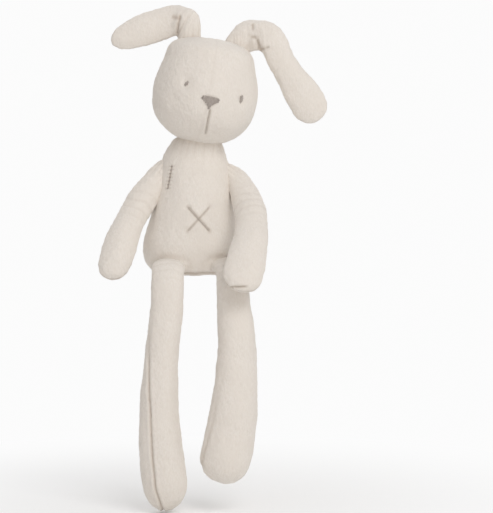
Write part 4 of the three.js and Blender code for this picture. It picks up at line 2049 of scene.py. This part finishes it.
@dataclass
class CareLabel:
    """A blank folded tape sewn into the side seam.

    Attributes:
        finishes: The shared materials.
        curl: How far it curls, in mm.
        weave: How many rows it is divided into.
    """

    finishes: Finishes
    curl: float = 2.2
    weave: int = 26

    def dress(self) -> None:
        """Models the tape: a thin strip with rounded edges and a soft curl."""
        low, high = box_corners("care_label")
        middle, size = (low + high) / 2, high - low
        bpy.ops.object.select_all(action="DESELECT")
        bpy.ops.mesh.primitive_grid_add(x_subdivisions=22, y_subdivisions=self.weave, size=1.0)
        label = bpy.context.active_object
        points = read_points(label)
        out, up = points[:, 0] + 0.5, points[:, 1]
        laid = np.empty_like(points)
        laid[:, 0] = low[0] + out * size[0]
        laid[:, 2] = middle[2] + up * size[2]
        wave = np.sin(out * 2.6) * 0.7 - 0.35 + 0.16 * np.sin(up * 5 + out * 3)
        laid[:, 1] = middle[1] + self.curl * MM * wave
        write_points(label, laid)
        thick = label.modifiers.new("folded", "SOLIDIFY")
        thick.thickness = 0.7 * MM
        thick.offset = 0.0
        round_over = label.modifiers.new("edge", "BEVEL")
        round_over.width = 0.18 * MM
        round_over.segments = 2
        round_over.limit_method = "ANGLE"
        apply_modifiers(label)
        bpy.ops.object.shade_smooth_by_angle(angle=math.radians(50))
        label.name = label.data.name = "care_label_tape"
        Finishes.wear(label, self.finishes.tape)
        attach(label, "torso")
        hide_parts("care_label")
        LOG.info("care_label_tape: on torso")


# --- light and camera -------------------------------------------------------------


@dataclass(frozen=True)
class Lamp:
    """A soft rectangular lamp that looks at the toy.

    Attributes:
        title: Its name.
        place: Where it stands, in metres.
        size: Its width and height in metres.
        power: Its power in watts.
        tint: Its colour.
    """

    title: str
    place: tuple[float, float, float]
    size: tuple[float, float]
    power: float
    tint: tuple[float, float, float] = (1.0, 1.0, 1.0)

    def hang(self, target: Vector) -> None:
        """Adds the lamp, turned to the target.

        Args:
            target: The point the lamp faces.
        """
        data = bpy.data.lights.new(self.title, "AREA")
        data.shape = "RECTANGLE"
        data.size, data.size_y = self.size
        data.energy = self.power
        data.color = self.tint
        lamp = bpy.data.objects.new(self.title, data)
        lamp.location = self.place
        lamp.rotation_euler = (target - Vector(self.place)).to_track_quat("-Z", "Y").to_euler()
        bpy.context.scene.collection.objects.link(lamp)


@dataclass
class Studio:
    """A pale floor, soft light all round and a long lens.

    Attributes:
        target: The point the camera faces, in metres.
        distance: How far away the camera is, in metres.
        elevation: How high it looks from, in degrees.
        lens: The focal length, in mm.
        sensor: The width of the film, in mm.
        sky: The strength of the soft light.
        backdrop: The white that the camera sees.
        zenith: The light from above.
        horizon: The light from the sides.
        floor_gap: How far the floor is below the feet, in metres.
        floor_radius: The radius of the floor, in metres.
        fade: Where the floor begins and ends to fade away, in metres.
        lamps: The lamps.
    """

    target: tuple = (0.0474, -0.020, 0.017)
    distance: float = 1.6
    elevation: float = 2.0
    lens: float = 129.0
    sensor: float = 36.0
    sky: float = 0.43
    backdrop: float = 0.97
    zenith: Colour = (1.25, 1.27, 1.31, 1)
    horizon: Colour = (0.95, 0.81, 0.67, 1)
    floor_gap: float = 0.0012
    floor_radius: float = 9.0
    fade: tuple = (-0.1, 0.45)
    lamps: tuple = (
        Lamp("key", (0.70, -1.35, 1.35), (1.1, 0.9), 14.5, (1.0, 0.995, 0.99)),
        Lamp("fill", (0.2, -1.35, 0.0), (1.6, 0.5), 2.0, (1.0, 0.90, 0.80)),
        Lamp("back", (-0.2, 1.3, 1.3), (1.5, 1.0), 9.0),
    )

    def build(self) -> None:
        """Builds the floor, the lights and the camera."""
        target = Vector(self.target)
        self._floor()
        for lamp in self.lamps:
            lamp.hang(target)
        self._sky()
        bpy.context.scene.view_settings.view_transform = "Standard"
        data = bpy.data.cameras.new("camera")
        data.lens = self.lens
        data.sensor_width = self.sensor
        camera = bpy.data.objects.new("camera", data)
        lift = math.radians(self.elevation)
        camera.location = target + Vector((0, -math.cos(lift), math.sin(lift))) * self.distance
        camera.rotation_euler = (target - camera.location).to_track_quat("-Z", "Y").to_euler()
        bpy.context.scene.collection.objects.link(camera)
        bpy.context.scene.camera = camera

    def _sky(self) -> None:
        """A white backdrop, with soft light that comes mostly from above."""
        world = bpy.data.worlds.new("soft_sky")
        world.use_nodes = True
        w = Wiring(world.node_tree)
        height = w.add("SeparateXYZ", Vector=w.add("TexCoord").outputs["Generated"]).outputs["Z"]
        tint = w.blend(w.ramp(height, -0.05, 0.9), self.horizon, self.zenith)
        lit = w.add("Background", Color=tint, Strength=self.sky)
        seen = w.add("Background", Color=(1, 1, 1, 1), Strength=self.backdrop)
        both = w.add("MixShader", Fac=w.add("LightPath").outputs["Is Camera Ray"])
        w.put(both, 1, lit.outputs[0])
        w.put(both, 2, seen.outputs[0])
        w.put(w.add("OutputWorld"), "Surface", both.outputs[0])
        bpy.context.scene.world = world

    def _floor(self) -> None:
        """A wide round floor just under the lowest point of the toy."""
        bpy.context.view_layer.update()
        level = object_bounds()[0][2] - self.floor_gap
        bpy.ops.object.select_all(action="DESELECT")
        bpy.ops.mesh.primitive_circle_add(
            vertices=96, radius=self.floor_radius, fill_type="NGON", location=(0, 0, level)
        )
        floor = bpy.context.active_object
        floor.name = "floor"
        floor.data.materials.append(self._floor_paint())
        floor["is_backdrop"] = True


    def _floor_paint(self) -> bpy.types.Material:
        """Pale matt paint that fades into the white backdrop further off.

        Returns:
            The material.
        """
        material = bpy.data.materials.new("floor_paint")
        material.use_nodes = True
        w = Wiring(material.node_tree)
        shader = w.add("BsdfPrincipled", Base_Color=(0.92, 0.92, 0.915, 1), Roughness=0.9)
        shader.inputs["Specular IOR Level"].default_value = 0.1
        place = w.add("TexCoord").outputs["Object"]
        away = w.add("VectorMath", {"operation": "LENGTH"}, Vector=place).outputs["Value"]
        seen = w.add("LightPath").outputs["Is Camera Ray"]
        white = w.add("Emission", Color=(1, 1, 1, 1), Strength=self.backdrop)
        both = w.add("MixShader", Fac=w.maths("MULTIPLY", w.ramp(away, *self.fade), seen))
        w.put(both, 1, shader.outputs[0])
        w.put(both, 2, white.outputs[0])
        w.put(w.add("OutputMaterial"), "Surface", both.outputs[0])
        return material


# --- the toy ------------------------------------------------------------------------


def right_ear(finishes: Finishes) -> Ear:
    """The ear that stands up and folds over towards the toy's right.

    Args:
        finishes: The shared materials.

    Returns:
        The ear.
    """
    return Ear(
        finishes,
        Stuffing(pressure=3.0, swell=1.6),
        side=Side.RIGHT,
        root=(
            (-3.2, -1.0, -7.0, 12.0, 6.4),
            (-3.4, -2.5, 4.0, 12.0, 6.8),
            (-3.7, -2.8, 12.0, 12.2, 6.8),
            (-5.4, -2.2, 17.5, 12.4, 6.4),
        ),
        tip=(
            (-9.0, 2.5, 16.8, 14.2, 6.4),
            (-20.0, 4.5, 16.0, 15.2, 6.8),
            (-32.5, 4.0, 11.9, 15.9, 7.4),
            (-45.0, 2.5, 7.2, 15.6, 7.6),
            (-56.5, 1.5, 2.6, 13.6, 7.0),
        ),
        end=Rounding(19.0, 2.0),
        crease_out=(2.0, 30.0),
        crease_in=(-14.5, 2.0),
        creases=(
            (2.0, 1.2, (-11.6, 21.0), (-13.6, 12.0), (-14.6, 2.5)),
            (0.5, 1.9, (-20.0, 19.0), (-14.5, 17.6), (-10.0, 15.8)),
        ),
        seed=300,
    )


def left_ear(finishes: Finishes) -> Ear:
    """The ear that arches over and hangs at the toy's left.

    Args:
        finishes: The shared materials.

    Returns:
        The ear.
    """
    return Ear(
        finishes,
        Stuffing(pressure=3.0, swell=1.6),
        side=Side.LEFT,
        root=(
            (-6.0, 1.0, -8.0, 12.4, 6.2),
            (1.6, 1.2, 3.6, 13.2, 6.8),
            (9.0, 1.5, 10.2, 14.6, 7.0),
            (15.0, 1.5, 10.8, 15.8, 7.0),
        ),
        tip=(
            (19.0, -1.5, 10.4, 16.2, 6.8),
            (30.0, -3.0, 5.0, 15.4, 7.2),
            (40.4, -3.5, -15.0, 14.6, 7.2),
            (48.2, -3.5, -27.5, 15.6, 7.6),
            (55.8, -3.5, -38.6, 17.6, 8.2),
            (63.0, -3.5, -50.3, 18.0, 8.0),
        ),
        end=Rounding(19.5, 2.25),
        crease_out=(16.0, 27.0),
        crease_in=(20.5, -7.0),
        creases=(
            (0.7, 1.1, (13.6, 20.5), (14.0, 12.5)),
            (1.0, 1.2, (10.6, 7.0), (15.0, 7.6), (18.0, 5.2)),
            (1.6, 1.1, (17.0, 6.6), (18.9, 0.6), (19.8, -6.5)),
        ),
        seed=340,
    )


def right_arm(finishes: Finishes) -> Arm:
    """The arm that hangs out from the toy's right side.

    Args:
        finishes: The shared materials.

    Returns:
        The arm.
    """
    return Arm(
        finishes,
        side=Side.RIGHT,
        stations=(
            (7.0, 1.0, 5.5, 9.8, 8.6),
            (-2.0, -4.0, -8.4, 13.2, 10.6),
            (-14.0, -12.0, -26.0, 14.8, 11.2),
            (-23.2, -21.5, -42.8, 14.2, 11.4),
            (-30.7, -31.0, -61.7, 16.1, 11.6),
            (-35.0, -37.0, -77.0, 16.0, 11.6),
        ),
        hand=Rounding(17.8, 2.3),
        seed=400,
    )


def left_arm(finishes: Finishes) -> Arm:
    """The arm whose hand lies over the left knee.

    Args:
        finishes: The shared materials.

    Returns:
        The arm.
    """
    return Arm(
        finishes,
        side=Side.LEFT,
        stations=(
            (-5.5, 1.0, 4.0, 9.6, 8.6),
            (4.5, -3.5, -5.0, 12.2, 10.2),
            (12.8, -15.5, -21.0, 14.4, 11.2),
            (16.9, -32.5, -38.0, 15.6, 11.6),
            (16.2, -48.0, -56.0, 16.8, 11.4),
            (13.4, -58.5, -71.0, 18.8, 11.0),
            (10.6, -64.5, -84.0, 19.4, 10.6),
        ),
        hand=Rounding(17.0, 2.5),
        elbow=0.42,
        wrinkle=0.6,
        seed=440,
    )


def right_leg(finishes: Finishes) -> Leg:
    """The leg whose front seam shows down to the toe.

    Args:
        finishes: The shared materials.

    Returns:
        The leg.
    """
    return Leg(
        finishes,
        side=Side.RIGHT,
        thigh=(
            (-1.0, 9.0, 0.5, 15.0, 8.2),
            (-1.9, -8.0, 0.5, 15.6, 8.4),
            (-2.3, -21.0, -0.8, 16.0, 8.8),
        ),
        shin=(
            (-2.4, -21.5, -3.0, 16.0, 8.8),
            (-2.6, -25.5, -14.0, 16.2, 9.8),
            (-3.0, -26.5, -32.0, 16.2, 11.4),
            (-5.6, -27.0, -55.0, 16.2, 12.8),
            (-8.2, -27.5, -84.0, 16.9, 14.2),
            (-9.7, -28.0, -122.0, 19.2, 16.0),
            (-7.6, -29.0, -158.0, 21.1, 17.8),
            (-5.0, -29.5, -184.5, 21.0, 18.4),
        ),
        foot=Rounding(25.0, 2.0),
        seam_offset=(
            (0, -12),
            (50, -12),
            (70, -10.4),
            (117, -6.6),
            (152, -7.2),
            (180, -7.2),
            (200, -3.0),
        ),
        seam_share=((40, 0.0), (75, 0.8), (110, 1.0), (200, 1.0)),
        seed=500,
    )


def left_leg(finishes: Finishes) -> Leg:
    """The leg under the left hand, with its seam round at the side.

    Args:
        finishes: The shared materials.

    Returns:
        The leg.
    """
    return Leg(
        finishes,
        side=Side.LEFT,
        thigh=(
            (0.5, 8.0, 0.5, 14.8, 8.2),
            (5.6, -9.0, 0.5, 15.4, 8.4),
            (10.8, -21.5, -0.8, 15.8, 8.8),
        ),
        shin=(
            (10.9, -22.0, -3.0, 16.0, 8.8),
            (11.1, -26.0, -14.0, 16.2, 9.8),
            (11.4, -27.0, -30.0, 16.6, 11.6),
            (13.2, -28.0, -52.0, 18.0, 13.2),
            (14.2, -29.0, -78.0, 19.5, 15.0),
            (11.6, -31.5, -120.0, 22.3, 17.4),
            (6.6, -34.0, -152.0, 23.4, 18.6),
            (4.2, -35.0, -164.0, 23.2, 18.2),
        ),
        foot=Rounding(21.5, 2.15),
        seam_offset=((0, -13), (120, -16), (150, -19.5), (175, -19.0), (190, -15)),
        seam_share=((90, 0.0), (140, 0.45), (190, 0.7)),
        seed=540,
    )


def dress_ties(finishes: Finishes) -> None:
    """Gives the sewing thread of the neck and the shoulders its finish.

    Args:
        finishes: The shared materials.
    """
    for node in ("neck_thread", "right_shoulder_thread", "left_shoulder_thread"):
        Finishes.wear(frame["nodes"][node], finishes.thread)
        LOG.info("%s: cream thread", node)


def main() -> None:
    """Builds the toy and its studio."""
    logging.basicConfig(level=logging.INFO, format="%(name)s: %(message)s")
    bpy.ops.object.select_all(action="DESELECT")
    finishes = Finishes()
    torso = Torso(finishes)
    torso_skin = torso.build()
    BodyStitches(finishes).dress(torso_skin)
    torso.dress(torso_skin)
    head = Head(finishes)
    head_skin = head.build()
    Face(finishes, head).dress(head_skin)
    head.dress(head_skin)
    for ear in (right_ear(finishes), left_ear(finishes)):
        ear.dress(ear.build())
    arm = right_arm(finishes)
    arm.dress(arm.build())
    arm = left_arm(finishes)
    arm_skin = arm.build()
    HandCrease().dress(arm_skin)
    arm.dress(arm_skin)
    for leg in (right_leg(finishes), left_leg(finishes)):
        leg.dress(leg.build())
    tail = Tail(finishes)
    tail.dress(tail.build())
    CareLabel(finishes).dress()
    dress_ties(finishes)
    Studio().build()


if __name__ == "__main__":
    main()
